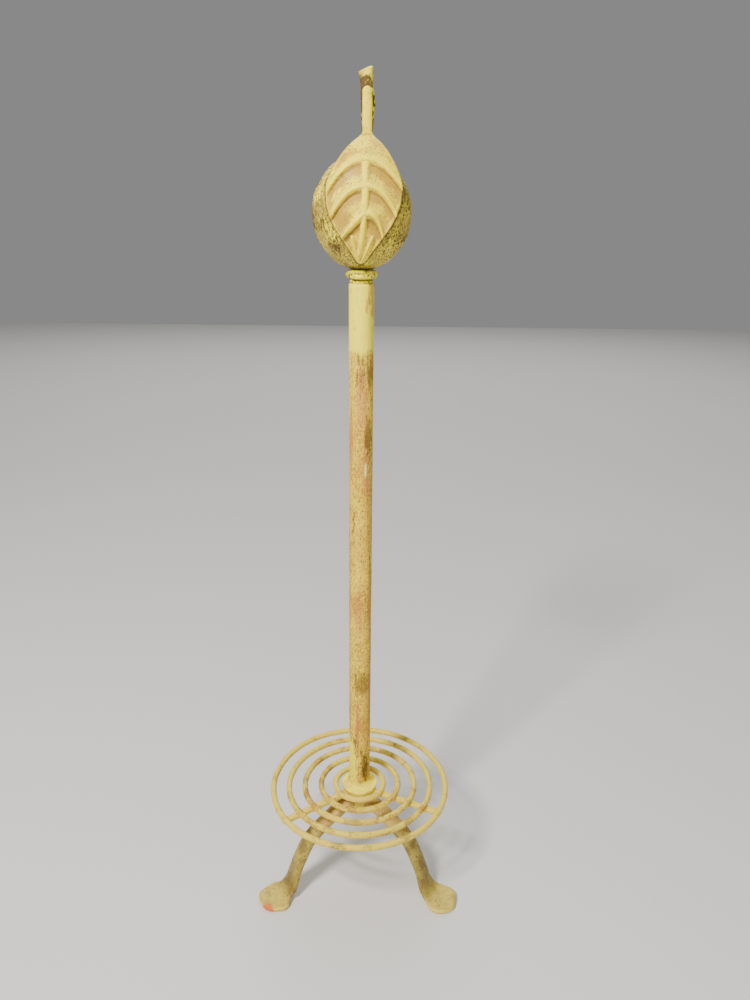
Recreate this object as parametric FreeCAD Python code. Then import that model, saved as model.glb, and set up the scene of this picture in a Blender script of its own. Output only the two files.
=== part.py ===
import FreeCAD, Part
import math
import os

# A free-standing paper towel holder in painted metal.
#
# Three bent legs with flat feet carry a hub, three spokes and five concentric wire rings, which
# the roll stands on.  A tube post rises from the hub.  A finial, a hollow fruit with one leaf and
# a twig stem, screws into the top of the post and comes off to load a roll.
#
# Millimetres, +Z up.  The origin is on the post's axis, in the plane that the feet stand on.
# The front faces -Y.  An azimuth is in degrees from the front, towards +X.

Vector = FreeCAD.Vector
UP = Vector(0, 0, 1)

# Heights above the floor
RING_PLANE_Z = 65.0
POST_TOP_Z = 372.0

# Wire rings, from the outer one to the inner one
WIRE_DIAMETER = 3.6
RING_RADII = {
    "ring_outer": 54.6,
    "ring_second": 44.7,
    "ring_third": 34.7,
    "ring_fourth": 24.4,
    "ring_inner": 15.3,
}

# Spokes: flat bars under the rings
SPOKE_WIDTH = 3.8
SPOKE_HEIGHT = 3.0
SPOKE_OVERHANG = 1.2
RING_SINK = 0.5
SPOKE_AZIMUTHS = {"spoke_front_left": -55.0, "spoke_front_right": 65.0, "spoke_back": 185.0}

# Post: a tube with a tapped plug at its foot and a tapped insert at its top
POST_DIAMETER = 13.0
POST_WALL = 1.2
POST_RIM_CHAMFER = 0.7
BOTTOM_PLUG_LENGTH = 16.0
TOP_INSERT_LENGTH = 17.0

# Hub flange and the boss under it
HUB_WALL = 2.0
FLANGE_WIDTH = 4.7
FLANGE_THICKNESS = 3.0
FLANGE_RIM_ROUND = 0.9
FLANGE_TO_POST_FILLET = 3.5
LEG_BOSS_STEP = 0.5
LEG_BOSS_HEIGHT = 11.0

# Legs: bent bar with a hammered disc for a foot
LEG_AZIMUTHS = {"leg_front_left": -60.0, "leg_front_right": 60.0, "leg_back": 180.0}
LEG_WIDTH = 10.0
LEG_THICKNESS = 6.0
LEG_EDGE_ROUND = 1.8
LEG_HIP_BELOW_BOSS_TOP = 4.2
LEG_HIP_IN_BOSS = 1.0
LEG_KNEE_RADIUS_OUT = 37.0
LEG_KNEE_Z = 38.0
LEG_KNEE_BEND = 14.0
LEG_ANKLE_RADIUS_OUT = 50.9
LEG_ANKLE_Z = 1.6
FOOT_CENTRE_OUT = 59.2
FOOT_RADIUS = 11.3
FOOT_THICKNESS = 3.5
FOOT_EDGE_ROUND = 0.8

# Screw and washer that hold the post's foot down from below
BASE_SCREW_DIAMETER = 5.0
BASE_SCREW_IN_PLUG = 11.0
BASE_SCREW_HEAD_DIAMETER = 9.5
BASE_SCREW_HEAD_HEIGHT = 3.2
BASE_SCREW_SLOT_WIDTH = 1.2
BASE_SCREW_SLOT_DEPTH = 1.4
BASE_SCREW_CLEARANCE = 0.25
BASE_WASHER_DIAMETER = 15.0
BASE_WASHER_THICKNESS = 1.2

# Finial stud: a 1/4 inch 20 thread, plain here
STUD_DIAMETER = 6.35
THREAD_PITCH = 1.27
THREAD_TURNS_ENGAGED = 9.5
STUD_RUNNING_CLEARANCE = 0.05
STUD_TIP_CHAMFER = 0.6
STUD_BELOW_ROOM = 2.0

# Neck: a band on the post's top, and a loose wire collar above it
SEAT_GAP = 0.1
NECK_BAND_STEP = 0.6
NECK_BAND_HEIGHT = 1.6
COLLAR_WIRE_DIAMETER = 4.7
COLLAR_BORE_CLEARANCE = 0.275
COLLAR_END_GAP_DEGREES = 5.0
COLLAR_END_AZIMUTH = -80.0
COLLAR_SIDE_CLEARANCE = 0.3

# Fruit: two half shells about a bush
FRUIT_DIAMETER = 49.2
FRUIT_HEIGHT = 52.8
FRUIT_WALL = 1.5
FRUIT_BOTTOM_IN_BOSS = 0.1
FINIAL_BOSS_DIAMETER = 12.0
FINIAL_BOSS_HEIGHT = 12.0

# Stem: a forged twig, cut on a slant
STEM_DEPTH = 5.2
STEM_FOOT_WIDTH = 4.6
STEM_MID_WIDTH = 6.0
STEM_TOP_WIDTH = 7.5
STEM_IN_FRUIT = 5.0
STEM_HEIGHT = 37.3
STEM_FOOT_OFFSET_X = 2.4
STEM_TOP_OFFSET_X = 1.4
STEM_TOP_SLANT = 1.2
STEM_EDGE_ROUND = 0.9

# Leaf: a pressed sheet that stands proud of the fruit, with its stalk up the stem's front
LEAF_THICKNESS = 1.2
LEAF_STAND_OFF = 0.4
LEAF_CENTRE_ABOVE_FRUIT_CENTRE = 1.0
LEAF_LENGTH = 58.0
LEAF_TOP_ABOVE_FRUIT = 8.3
LEAF_HALF_WIDTH = 18.1
LEAF_TOP_HALF_WIDTH = 2.5
LEAF_TIP_HALF_WIDTH = 0.8
LEAF_WIDEST_SHARE = 0.55
LEAF_FLATTER_ACROSS = 4.8
STALK_WIDTH = 4.5
STALK_THICKNESS = 1.2
STALK_LENGTH = 19.0

# Worked out from the values above
WIRE_RADIUS = WIRE_DIAMETER / 2
POST_RADIUS = POST_DIAMETER / 2
POST_BORE_RADIUS = POST_RADIUS - POST_WALL
SPOKE_TOP_Z = RING_PLANE_Z - WIRE_RADIUS + RING_SINK
SPOKE_BOTTOM_Z = SPOKE_TOP_Z - SPOKE_HEIGHT
SPOKE_END_RADIUS = max(RING_RADII.values()) + WIRE_RADIUS + SPOKE_OVERHANG
POST_FOOT_Z = SPOKE_BOTTOM_Z
HUB_RADIUS = POST_RADIUS + HUB_WALL
FLANGE_RADIUS = POST_RADIUS + FLANGE_WIDTH
LEG_BOSS_RADIUS = HUB_RADIUS + LEG_BOSS_STEP
LEG_BOSS_BOTTOM_Z = SPOKE_BOTTOM_Z - LEG_BOSS_HEIGHT
LEG_HIP_Z = SPOKE_BOTTOM_Z - LEG_HIP_BELOW_BOSS_TOP
BASE_SCREW_RADIUS = BASE_SCREW_DIAMETER / 2
STUD_RADIUS = STUD_DIAMETER / 2
STUD_ENGAGED_LENGTH = THREAD_PITCH * THREAD_TURNS_ENGAGED
STUD_TIP_Z = POST_TOP_Z - STUD_ENGAGED_LENGTH
NECK_BAND_RADIUS = POST_RADIUS - NECK_BAND_STEP
NECK_BAND_BOTTOM_Z = POST_TOP_Z + SEAT_GAP
NECK_BAND_TOP_Z = NECK_BAND_BOTTOM_Z + NECK_BAND_HEIGHT
COLLAR_WIRE_RADIUS = COLLAR_WIRE_DIAMETER / 2
COLLAR_RADIUS = STUD_RADIUS + COLLAR_BORE_CLEARANCE + COLLAR_WIRE_RADIUS
COLLAR_CENTRE_Z = NECK_BAND_TOP_Z + COLLAR_SIDE_CLEARANCE + COLLAR_WIRE_RADIUS
FRUIT_BOTTOM_Z = COLLAR_CENTRE_Z + COLLAR_WIRE_RADIUS + COLLAR_SIDE_CLEARANCE
FRUIT_CENTRE_Z = FRUIT_BOTTOM_Z - FRUIT_BOTTOM_IN_BOSS + FRUIT_HEIGHT / 2
FRUIT_TOP_Z = FRUIT_CENTRE_Z + FRUIT_HEIGHT / 2
FRUIT_RADIUS = FRUIT_DIAMETER / 2
LEAF_TOP_Z = FRUIT_TOP_Z + LEAF_TOP_ABOVE_FRUIT
LEAF_TIP_Z = LEAF_TOP_Z - LEAF_LENGTH
STEM_TOP_Z = FRUIT_TOP_Z + STEM_HEIGHT


def cylinder(radius, bottom, top):
    """A cylinder about the post's axis, from one height to another."""
    return Part.makeCylinder(radius, top - bottom, Vector(0, 0, bottom))


def polygon_face(points):
    """A flat face with straight sides."""
    return Part.Face(Part.makePolygon(points + points[:1]))


def turned(points):
    """A body turned about the post's axis from (radius, height) points."""
    outline = polygon_face([Vector(radius, 0, height) for radius, height in points])
    return outline.revolve(Vector(0, 0, 0), UP, 360)


def turned_to_azimuth(shape, azimuth):
    """The shape, built along +X, turned so that it points along the azimuth."""
    copy = shape.copy()
    copy.rotate(Vector(0, 0, 0), UP, azimuth - 90)
    return copy


def ellipsoid(radius, half_height, centre):
    """A solid of revolution about an upright axis through the centre, with an ellipse for a side."""
    tall = centre + Vector(0, 0, half_height)
    wide = centre + Vector(radius, 0, 0)
    if half_height >= radius:
        side = Part.ArcOfEllipse(Part.Ellipse(tall, wide, centre), 0, math.pi)
    else:
        side = Part.ArcOfEllipse(Part.Ellipse(wide, tall, centre), -math.pi / 2, math.pi / 2)
    axis_line = Part.LineSegment(side.EndPoint, side.StartPoint)
    face = Part.Face(Part.Wire([side.toShape(), axis_line.toShape()]))
    return face.revolve(centre, UP, 360)


def make_ring(radius):
    """A closed wire ring in the ring plane."""
    return Part.makeTorus(radius, WIRE_RADIUS, Vector(0, 0, RING_PLANE_Z))


def make_spoke(rings):
    """A flat bar from the hub to just past the outer ring, notched where each ring is sunk in."""
    bar = Part.makeBox(
        SPOKE_END_RADIUS,
        SPOKE_WIDTH,
        SPOKE_HEIGHT,
        Vector(0, -SPOKE_WIDTH / 2, SPOKE_BOTTOM_Z),
    )
    bar = bar.cut(cylinder(HUB_RADIUS, SPOKE_BOTTOM_Z, SPOKE_TOP_Z))
    for ring in rings:
        bar = bar.cut(ring)
    return bar


def make_hub_flange():
    """The hub between the spokes, its flange on top of them and the fillet up to the post."""
    flange_top = SPOKE_TOP_Z + FLANGE_THICKNESS
    hub = cylinder(HUB_RADIUS, SPOKE_BOTTOM_Z, SPOKE_TOP_Z)
    flange = cylinder(FLANGE_RADIUS, SPOKE_TOP_Z, flange_top)
    flange = flange.makeFillet(FLANGE_RIM_ROUND, [top_circle(flange)])
    post_side = Vector(POST_RADIUS, 0, flange_top + FLANGE_TO_POST_FILLET)
    corner = Vector(POST_RADIUS, 0, flange_top)
    flange_side = Vector(POST_RADIUS + FLANGE_TO_POST_FILLET, 0, flange_top)
    inwards = FLANGE_TO_POST_FILLET * (1 - math.sqrt(0.5))
    on_curve = Vector(POST_RADIUS + inwards, 0, flange_top + inwards)
    curve = Part.Arc(flange_side, on_curve, post_side).toShape()
    sides = [
        Part.LineSegment(post_side, corner).toShape(),
        Part.LineSegment(corner, flange_side).toShape(),
        curve,
    ]
    fillet = Part.Face(Part.Wire(Part.__sortEdges__(sides))).revolve(Vector(0, 0, 0), UP, 360)
    body = hub.fuse([flange, fillet]).removeSplitter()
    return body.cut(cylinder(POST_RADIUS, POST_FOOT_Z, flange_top + FLANGE_TO_POST_FILLET))


def top_circle(shape):
    """The highest circular edge of a turned shape."""
    circles = [edge for edge in shape.Edges if isinstance(edge.Curve, Part.Circle)]
    return max(circles, key=lambda edge: edge.BoundBox.ZMax)


def make_post_tube():
    """The post's tube, with its top rim chamfered outside."""
    rim = POST_TOP_Z - POST_RIM_CHAMFER
    return turned(
        [
            (POST_BORE_RADIUS, POST_FOOT_Z),
            (POST_RADIUS, POST_FOOT_Z),
            (POST_RADIUS, rim),
            (POST_RADIUS - POST_RIM_CHAMFER, POST_TOP_Z),
            (POST_BORE_RADIUS, POST_TOP_Z),
        ]
    )


def make_bottom_plug():
    """The plug in the post's foot, bored for the base screw."""
    plug = cylinder(POST_BORE_RADIUS, POST_FOOT_Z, POST_FOOT_Z + BOTTOM_PLUG_LENGTH)
    return plug.cut(cylinder(BASE_SCREW_RADIUS, POST_FOOT_Z, POST_FOOT_Z + BASE_SCREW_IN_PLUG))


def make_top_insert():
    """The insert in the post's top, bored for the finial's stud and some room below its tip."""
    insert = cylinder(POST_BORE_RADIUS, POST_TOP_Z - TOP_INSERT_LENGTH, POST_TOP_Z)
    bore_radius = STUD_RADIUS + STUD_RUNNING_CLEARANCE
    return insert.cut(cylinder(bore_radius, STUD_TIP_Z - STUD_BELOW_ROOM, POST_TOP_Z))


def make_leg_boss():
    """The boss under the hub that the legs are welded to."""
    boss = cylinder(LEG_BOSS_RADIUS, LEG_BOSS_BOTTOM_Z, SPOKE_BOTTOM_Z)
    hole = BASE_SCREW_RADIUS + BASE_SCREW_CLEARANCE
    return boss.cut(cylinder(hole, LEG_BOSS_BOTTOM_Z, SPOKE_BOTTOM_Z))


def make_base_washer():
    """The washer under the leg boss."""
    bottom = LEG_BOSS_BOTTOM_Z - BASE_WASHER_THICKNESS
    washer = cylinder(BASE_WASHER_DIAMETER / 2, bottom, LEG_BOSS_BOTTOM_Z)
    hole = BASE_SCREW_RADIUS + BASE_SCREW_CLEARANCE
    return washer.cut(cylinder(hole, bottom, LEG_BOSS_BOTTOM_Z))


def make_base_screw():
    """The slotted pan-head screw that comes up through the washer and the boss into the plug."""
    head_top = LEG_BOSS_BOTTOM_Z - BASE_WASHER_THICKNESS
    head_bottom = head_top - BASE_SCREW_HEAD_HEIGHT
    head = cylinder(BASE_SCREW_HEAD_DIAMETER / 2, head_bottom, head_top)
    slot = Part.makeBox(
        BASE_SCREW_HEAD_DIAMETER,
        BASE_SCREW_SLOT_WIDTH,
        BASE_SCREW_SLOT_DEPTH,
        Vector(-BASE_SCREW_HEAD_DIAMETER / 2, -BASE_SCREW_SLOT_WIDTH / 2, head_bottom),
    )
    shank = cylinder(BASE_SCREW_RADIUS, head_top, POST_FOOT_Z + BASE_SCREW_IN_PLUG)
    return head.cut(slot).fuse(shank).removeSplitter()


def leg_path():
    """The leg's centre line in the XZ plane: a sloping run, the knee's bend and a steep run."""
    hip = Vector(LEG_BOSS_RADIUS - LEG_HIP_IN_BOSS, 0, LEG_HIP_Z)
    knee = Vector(LEG_KNEE_RADIUS_OUT, 0, LEG_KNEE_Z)
    ankle = Vector(LEG_ANKLE_RADIUS_OUT, 0, LEG_ANKLE_Z)
    to_hip = (hip - knee).normalize()
    to_ankle = (ankle - knee).normalize()
    half_angle = to_hip.getAngle(to_ankle) / 2
    back = LEG_KNEE_BEND / math.tan(half_angle)
    bisector = (to_hip + to_ankle).normalize()
    centre = knee + bisector * (LEG_KNEE_BEND / math.sin(half_angle))
    bend_start = knee + to_hip * back
    bend_end = knee + to_ankle * back
    bend_middle = centre - bisector * LEG_KNEE_BEND
    return Part.Wire(
        [
            Part.LineSegment(hip, bend_start).toShape(),
            Part.Arc(bend_start, bend_middle, bend_end).toShape(),
            Part.LineSegment(bend_end, ankle).toShape(),
        ]
    )


def make_leg():
    """A leg along +X: a bent bar that ends in a flat round foot."""
    path = leg_path()
    start = path.Vertexes[0].Point
    along = (path.Edges[0].tangentAt(path.Edges[0].FirstParameter)).normalize()
    across = Vector(0, 1, 0)
    upwards = along.cross(across)
    corners = []
    for side, lift in ((-1, -1), (1, -1), (1, 1), (-1, 1)):
        corner = start + across * (side * LEG_WIDTH / 2) + upwards * (lift * LEG_THICKNESS / 2)
        corners.append(corner)
    section = Part.makePolygon(corners + corners[:1])
    bar = path.makePipeShell([section], True, False)
    long_edges = [edge for edge in bar.Edges if abs(edge.BoundBox.YLength) < 0.01]
    bar = bar.makeFillet(LEG_EDGE_ROUND, long_edges)
    foot = Part.makeCylinder(FOOT_RADIUS, FOOT_THICKNESS, Vector(FOOT_CENTRE_OUT, 0, 0))
    foot = foot.makeFillet(FOOT_EDGE_ROUND, [top_circle(foot)])
    leg = bar.fuse(foot).removeSplitter()
    return leg.cut(cylinder(LEG_BOSS_RADIUS, LEG_BOSS_BOTTOM_Z, SPOKE_BOTTOM_Z))


def make_neck_band():
    """The band under the fruit, fast on the stud, that seats on the post's top."""
    band = cylinder(NECK_BAND_RADIUS, NECK_BAND_BOTTOM_Z, NECK_BAND_TOP_Z)
    return band.cut(cylinder(STUD_RADIUS, NECK_BAND_BOTTOM_Z, NECK_BAND_TOP_Z))


def make_neck_collar():
    """The loose collar: one turn of round wire with a narrow gap between its ends."""
    centre = Vector(COLLAR_RADIUS, 0, COLLAR_CENTRE_Z)
    section = Part.Circle(centre, Vector(0, 1, 0), COLLAR_WIRE_RADIUS)
    face = Part.Face(Part.Wire(section.toShape()))
    turn = face.revolve(Vector(0, 0, 0), UP, 360 - COLLAR_END_GAP_DEGREES)
    return turned_to_azimuth(turn, COLLAR_END_AZIMUTH + COLLAR_END_GAP_DEGREES / 2)


def make_finial_stud():
    """The stud under the fruit, with a chamfered tip."""
    top = FRUIT_BOTTOM_Z + FINIAL_BOSS_HEIGHT
    return turned(
        [
            (0, STUD_TIP_Z),
            (STUD_RADIUS - STUD_TIP_CHAMFER, STUD_TIP_Z),
            (STUD_RADIUS, STUD_TIP_Z + STUD_TIP_CHAMFER),
            (STUD_RADIUS, top),
            (0, top),
        ]
    )


def make_finial_boss():
    """The bush in the fruit's bottom that holds the stud."""
    top = FRUIT_BOTTOM_Z + FINIAL_BOSS_HEIGHT
    bush = cylinder(FINIAL_BOSS_DIAMETER / 2, FRUIT_BOTTOM_Z, top)
    return bush.cut(cylinder(STUD_RADIUS, FRUIT_BOTTOM_Z, top))


def make_stem():
    """The stem: a slightly bent bar that swells towards its slanted top."""
    foot = FRUIT_TOP_Z - STEM_IN_FRUIT
    half_foot = STEM_FOOT_WIDTH / 2
    half_mid = STEM_MID_WIDTH / 2
    half_top = STEM_TOP_WIDTH / 2
    middle = (LEAF_TOP_Z + STEM_TOP_Z) / 2
    front = -STEM_DEPTH / 2
    left = [
        Vector(STEM_TOP_OFFSET_X - half_top, front, STEM_TOP_Z - STEM_TOP_SLANT),
        Vector(STEM_FOOT_OFFSET_X - half_mid, front, middle),
        Vector(STEM_FOOT_OFFSET_X - half_foot, front, LEAF_TOP_Z),
        Vector(STEM_FOOT_OFFSET_X - half_foot, front, foot),
    ]
    right = [
        Vector(STEM_FOOT_OFFSET_X + half_foot, front, foot),
        Vector(STEM_FOOT_OFFSET_X + half_foot, front, LEAF_TOP_Z),
        Vector(STEM_FOOT_OFFSET_X + half_mid, front, middle),
        Vector(STEM_TOP_OFFSET_X + half_top, front, STEM_TOP_Z),
    ]
    stem = polygon_face(left + right).extrude(Vector(0, STEM_DEPTH, 0))
    long_edges = [
        edge
        for edge in stem.Edges
        if edge.BoundBox.YLength < 0.01 and edge.BoundBox.ZLength > 2 * STEM_TOP_SLANT
    ]
    return stem.makeFillet(STEM_EDGE_ROUND, long_edges)


def leaf_outline():
    """The leaf's outline as a flat face in the XZ plane, leaning towards the stem's foot."""
    lean = STEM_FOOT_OFFSET_X / LEAF_LENGTH
    widest = LEAF_LENGTH * LEAF_WIDEST_SHARE

    def at(half_width, up):
        return Vector(half_width + lean * up, 0, LEAF_TIP_Z + up)

    edges = []
    for side in (-1, 1):
        tip = at(side * LEAF_TIP_HALF_WIDTH, 0)
        lower = at(side * LEAF_HALF_WIDTH * 0.76, widest * 0.54)
        wide = at(side * LEAF_HALF_WIDTH, widest)
        upper = at(side * LEAF_HALF_WIDTH * 0.8, widest + 0.54 * (LEAF_LENGTH - widest))
        top = at(side * LEAF_TOP_HALF_WIDTH, LEAF_LENGTH)
        edges.append(Part.Arc(tip, lower, wide).toShape())
        edges.append(Part.Arc(wide, upper, top).toShape())
    edges.append(Part.LineSegment(at(-LEAF_TIP_HALF_WIDTH, 0), at(LEAF_TIP_HALF_WIDTH, 0)).toShape())
    top_left = at(-LEAF_TOP_HALF_WIDTH, LEAF_LENGTH)
    top_right = at(LEAF_TOP_HALF_WIDTH, LEAF_LENGTH)
    edges.append(Part.LineSegment(top_left, top_right).toShape())
    return Part.Face(Part.Wire(Part.__sortEdges__(edges)))


def make_leaf(stem):
    """The leaf: its outline cut from a thin curved sheet, and its stalk up the stem's front."""
    front = -(FRUIT_RADIUS + LEAF_STAND_OFF)
    across = FRUIT_RADIUS + LEAF_FLATTER_ACROSS
    centre = Vector(0, front + across, FRUIT_CENTRE_Z + LEAF_CENTRE_ABOVE_FRUIT_CENTRE)
    along = LEAF_TOP_Z - centre.z
    outer = ellipsoid(across + LEAF_THICKNESS, along + LEAF_THICKNESS, centre)
    sheet = outer.cut(ellipsoid(across, along, centre))
    prism = leaf_outline().extrude(Vector(0, front - 3 * LEAF_THICKNESS, 0))
    blade = sheet.common(prism)
    stalk_foot = LEAF_TOP_Z - 2 * STALK_THICKNESS
    stalk = Part.makeBox(
        STALK_WIDTH,
        STALK_THICKNESS,
        STALK_LENGTH,
        Vector(
            STEM_FOOT_OFFSET_X - STALK_WIDTH / 2,
            -STEM_DEPTH / 2 - STALK_THICKNESS,
            stalk_foot,
        ),
    )
    leaf = blade.fuse(stalk).removeSplitter()
    return leaf.cut(stem)


def make_fruit_halves(stem, boss_diameter):
    """The fruit's front and back half shells, open for the stem's foot and the bush."""
    centre = Vector(0, 0, FRUIT_CENTRE_Z)
    shell = ellipsoid(FRUIT_RADIUS, FRUIT_HEIGHT / 2, centre)
    inside = ellipsoid(FRUIT_RADIUS - FRUIT_WALL, FRUIT_HEIGHT / 2 - FRUIT_WALL, centre)
    shell = shell.cut(inside)
    shell = shell.cut(cylinder(boss_diameter / 2, FRUIT_BOTTOM_Z - FRUIT_WALL, FRUIT_CENTRE_Z))
    shell = shell.cut(stem)
    size = FRUIT_DIAMETER + FRUIT_HEIGHT
    halves = []
    for low_y in (-size, 0):
        block = Part.makeBox(2 * size, size, 2 * size, Vector(-size, low_y, FRUIT_CENTRE_Z - size))
        halves.append(shell.common(block))
    return halves


def write(name, shape):
    """Writes one piece, and stops if it isn't exactly one sound solid."""
    solids = shape.Solids
    if len(solids) != 1 or not solids[0].isValid():
        raise ValueError(f"{name} has {len(solids)} solids, or isn't sound")
    solids[0].exportStep(os.path.join("parts", f"{name}.step"))
    print(f"{name}: {solids[0].Volume:.0f} mm3")


def main():
    """Makes every piece and writes it."""
    os.makedirs("parts", exist_ok=True)
    rings = {name: make_ring(radius) for name, radius in RING_RADII.items()}
    for name, ring in rings.items():
        write(name, ring)
    spoke_along_x = make_spoke(rings.values())
    for name, azimuth in SPOKE_AZIMUTHS.items():
        write(name, turned_to_azimuth(spoke_along_x, azimuth))
    leg_along_x = make_leg()
    for name, azimuth in LEG_AZIMUTHS.items():
        write(name, turned_to_azimuth(leg_along_x, azimuth))
    write("hub_flange", make_hub_flange())
    write("leg_boss", make_leg_boss())
    write("base_washer", make_base_washer())
    write("base_screw", make_base_screw())
    write("post_tube", make_post_tube())
    write("post_bottom_plug", make_bottom_plug())
    write("post_top_insert", make_top_insert())
    write("neck_band", make_neck_band())
    write("neck_collar", make_neck_collar())
    write("finial_stud", make_finial_stud())
    write("finial_boss", make_finial_boss())
    stem = make_stem()
    write("finial_stem", stem)
    write("leaf", make_leaf(stem))
    front, back = make_fruit_halves(stem, FINIAL_BOSS_DIAMETER)
    write("fruit_front_shell", front)
    write("fruit_back_shell", back)


main()
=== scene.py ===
import logging
import math
from dataclasses import dataclass
from enum import Enum
from typing import Callable, Iterable, Mapping, Sequence

import bpy
from mathutils import Matrix, Vector, noise


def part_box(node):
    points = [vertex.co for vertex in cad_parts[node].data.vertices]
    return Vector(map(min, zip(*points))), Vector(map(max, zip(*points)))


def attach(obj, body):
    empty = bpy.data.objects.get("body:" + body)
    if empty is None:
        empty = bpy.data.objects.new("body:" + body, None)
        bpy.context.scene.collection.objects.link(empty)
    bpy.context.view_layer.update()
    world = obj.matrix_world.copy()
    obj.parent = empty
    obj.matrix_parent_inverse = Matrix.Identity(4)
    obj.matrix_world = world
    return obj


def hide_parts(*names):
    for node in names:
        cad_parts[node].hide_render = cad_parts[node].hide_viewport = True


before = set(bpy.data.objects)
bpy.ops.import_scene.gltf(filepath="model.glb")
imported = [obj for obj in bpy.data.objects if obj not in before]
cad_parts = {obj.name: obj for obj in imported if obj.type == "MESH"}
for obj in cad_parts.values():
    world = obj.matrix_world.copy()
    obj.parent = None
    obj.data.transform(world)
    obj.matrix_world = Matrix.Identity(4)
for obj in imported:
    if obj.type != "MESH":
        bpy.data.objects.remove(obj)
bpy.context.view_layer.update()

MM = 0.001
LOG = logging.getLogger("paper_towel_holder")

Colour = tuple[float, float, float]
Point = tuple[float, float, float]
Stops = Sequence[tuple[float, float]]


# ---------------------------------------------------------------------------------------------
# Node trees
# ---------------------------------------------------------------------------------------------


class Field:
    """A value that changes over a surface: a node socket that Python's operators work on."""

    def __init__(self, bench: "Bench", socket: bpy.types.NodeSocket) -> None:
        """Wraps the socket, which belongs to the bench's tree."""
        self.bench = bench
        self.socket = socket

    def _maths(self, operation: str, *values: object, clamp: bool = False) -> "Field":
        """Adds one Math node.

        Args:
            operation: The Math node's operation.
            values: Its inputs in order, fields or numbers.
            clamp: True to keep the result between 0 and 1.

        Returns:
            The node's result.
        """
        settings = {"operation": operation, "use_clamp": clamp}
        return self.bench.field("ShaderNodeMath", settings, dict(enumerate(values)))

    def __add__(self, other: object) -> "Field":
        """This field plus another value."""
        return self._maths("ADD", self, other)

    __radd__ = __add__

    def __sub__(self, other: object) -> "Field":
        """This field minus another value."""
        return self._maths("SUBTRACT", self, other)

    def __rsub__(self, other: object) -> "Field":
        """Another value minus this field."""
        return self._maths("SUBTRACT", other, self)

    def __mul__(self, other: object) -> "Field":
        """This field times another value."""
        return self._maths("MULTIPLY", self, other)

    __rmul__ = __mul__

    def clamped(self) -> "Field":
        """This field kept between 0 and 1."""
        return self._maths("ADD", self, 0.0, clamp=True)

    def highest(self, other: object) -> "Field":
        """The higher of this field and another value."""
        return self._maths("MAXIMUM", self, other)

    def broken(self, grain: "Field", amount: float) -> "Field":
        """This field, broken up by an amount of noise that is 0.5 on average."""
        return self + (grain - 0.5) * amount

    def step(self, low: float, high: float) -> "Field":
        """A smooth step of this field.

        Args:
            low: The value at which the step starts.
            high: The value at which it ends, which may be the lower of the two.

        Returns:
            0 before low, 1 past high and a smooth change between them.
        """
        if low < high:
            ends = {"From Min": low, "From Max": high, "To Min": 0.0, "To Max": 1.0}
        else:
            ends = {"From Min": high, "From Max": low, "To Min": 1.0, "To Max": 0.0}
        settings = {"interpolation_type": "SMOOTHSTEP"}
        return self.bench.field("ShaderNodeMapRange", settings, {"Value": self, **ends})


class Bench:
    """Adds nodes to one node tree, of a material or of Geometry Nodes."""

    def __init__(self, tree: bpy.types.NodeTree) -> None:
        """Works on the given tree."""
        self.tree = tree

    def node(
        self,
        kind: str,
        settings: Mapping[str, object] | None = None,
        values: Mapping[str | int, object] | None = None,
    ) -> bpy.types.Node:
        """Adds a node.

        Args:
            kind: The node's type.
            settings: Its own properties, and "stops" for a colour ramp, which are set first.
            values: For each input, by name or place, a number, a data block, a socket or a field.

        Returns:
            The new node.
        """
        node = self.tree.nodes.new(kind)
        for name, setting in (settings or {}).items():
            setattr(node, name, setting)
        for key, value in (values or {}).items():
            socket = node.inputs[key]
            if isinstance(value, Field):
                self.tree.links.new(value.socket, socket)
            elif isinstance(value, bpy.types.NodeSocket):
                self.tree.links.new(value, socket)
            else:
                socket.default_value = value
        return node

    def field(
        self,
        kind: str,
        settings: Mapping[str, object] | None = None,
        values: Mapping[str | int, object] | None = None,
        output: str | int = 0,
    ) -> Field:
        """Adds a node as node() does, and returns one of its outputs as a field."""
        return Field(self, self.node(kind, settings, values).outputs[output])


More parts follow.
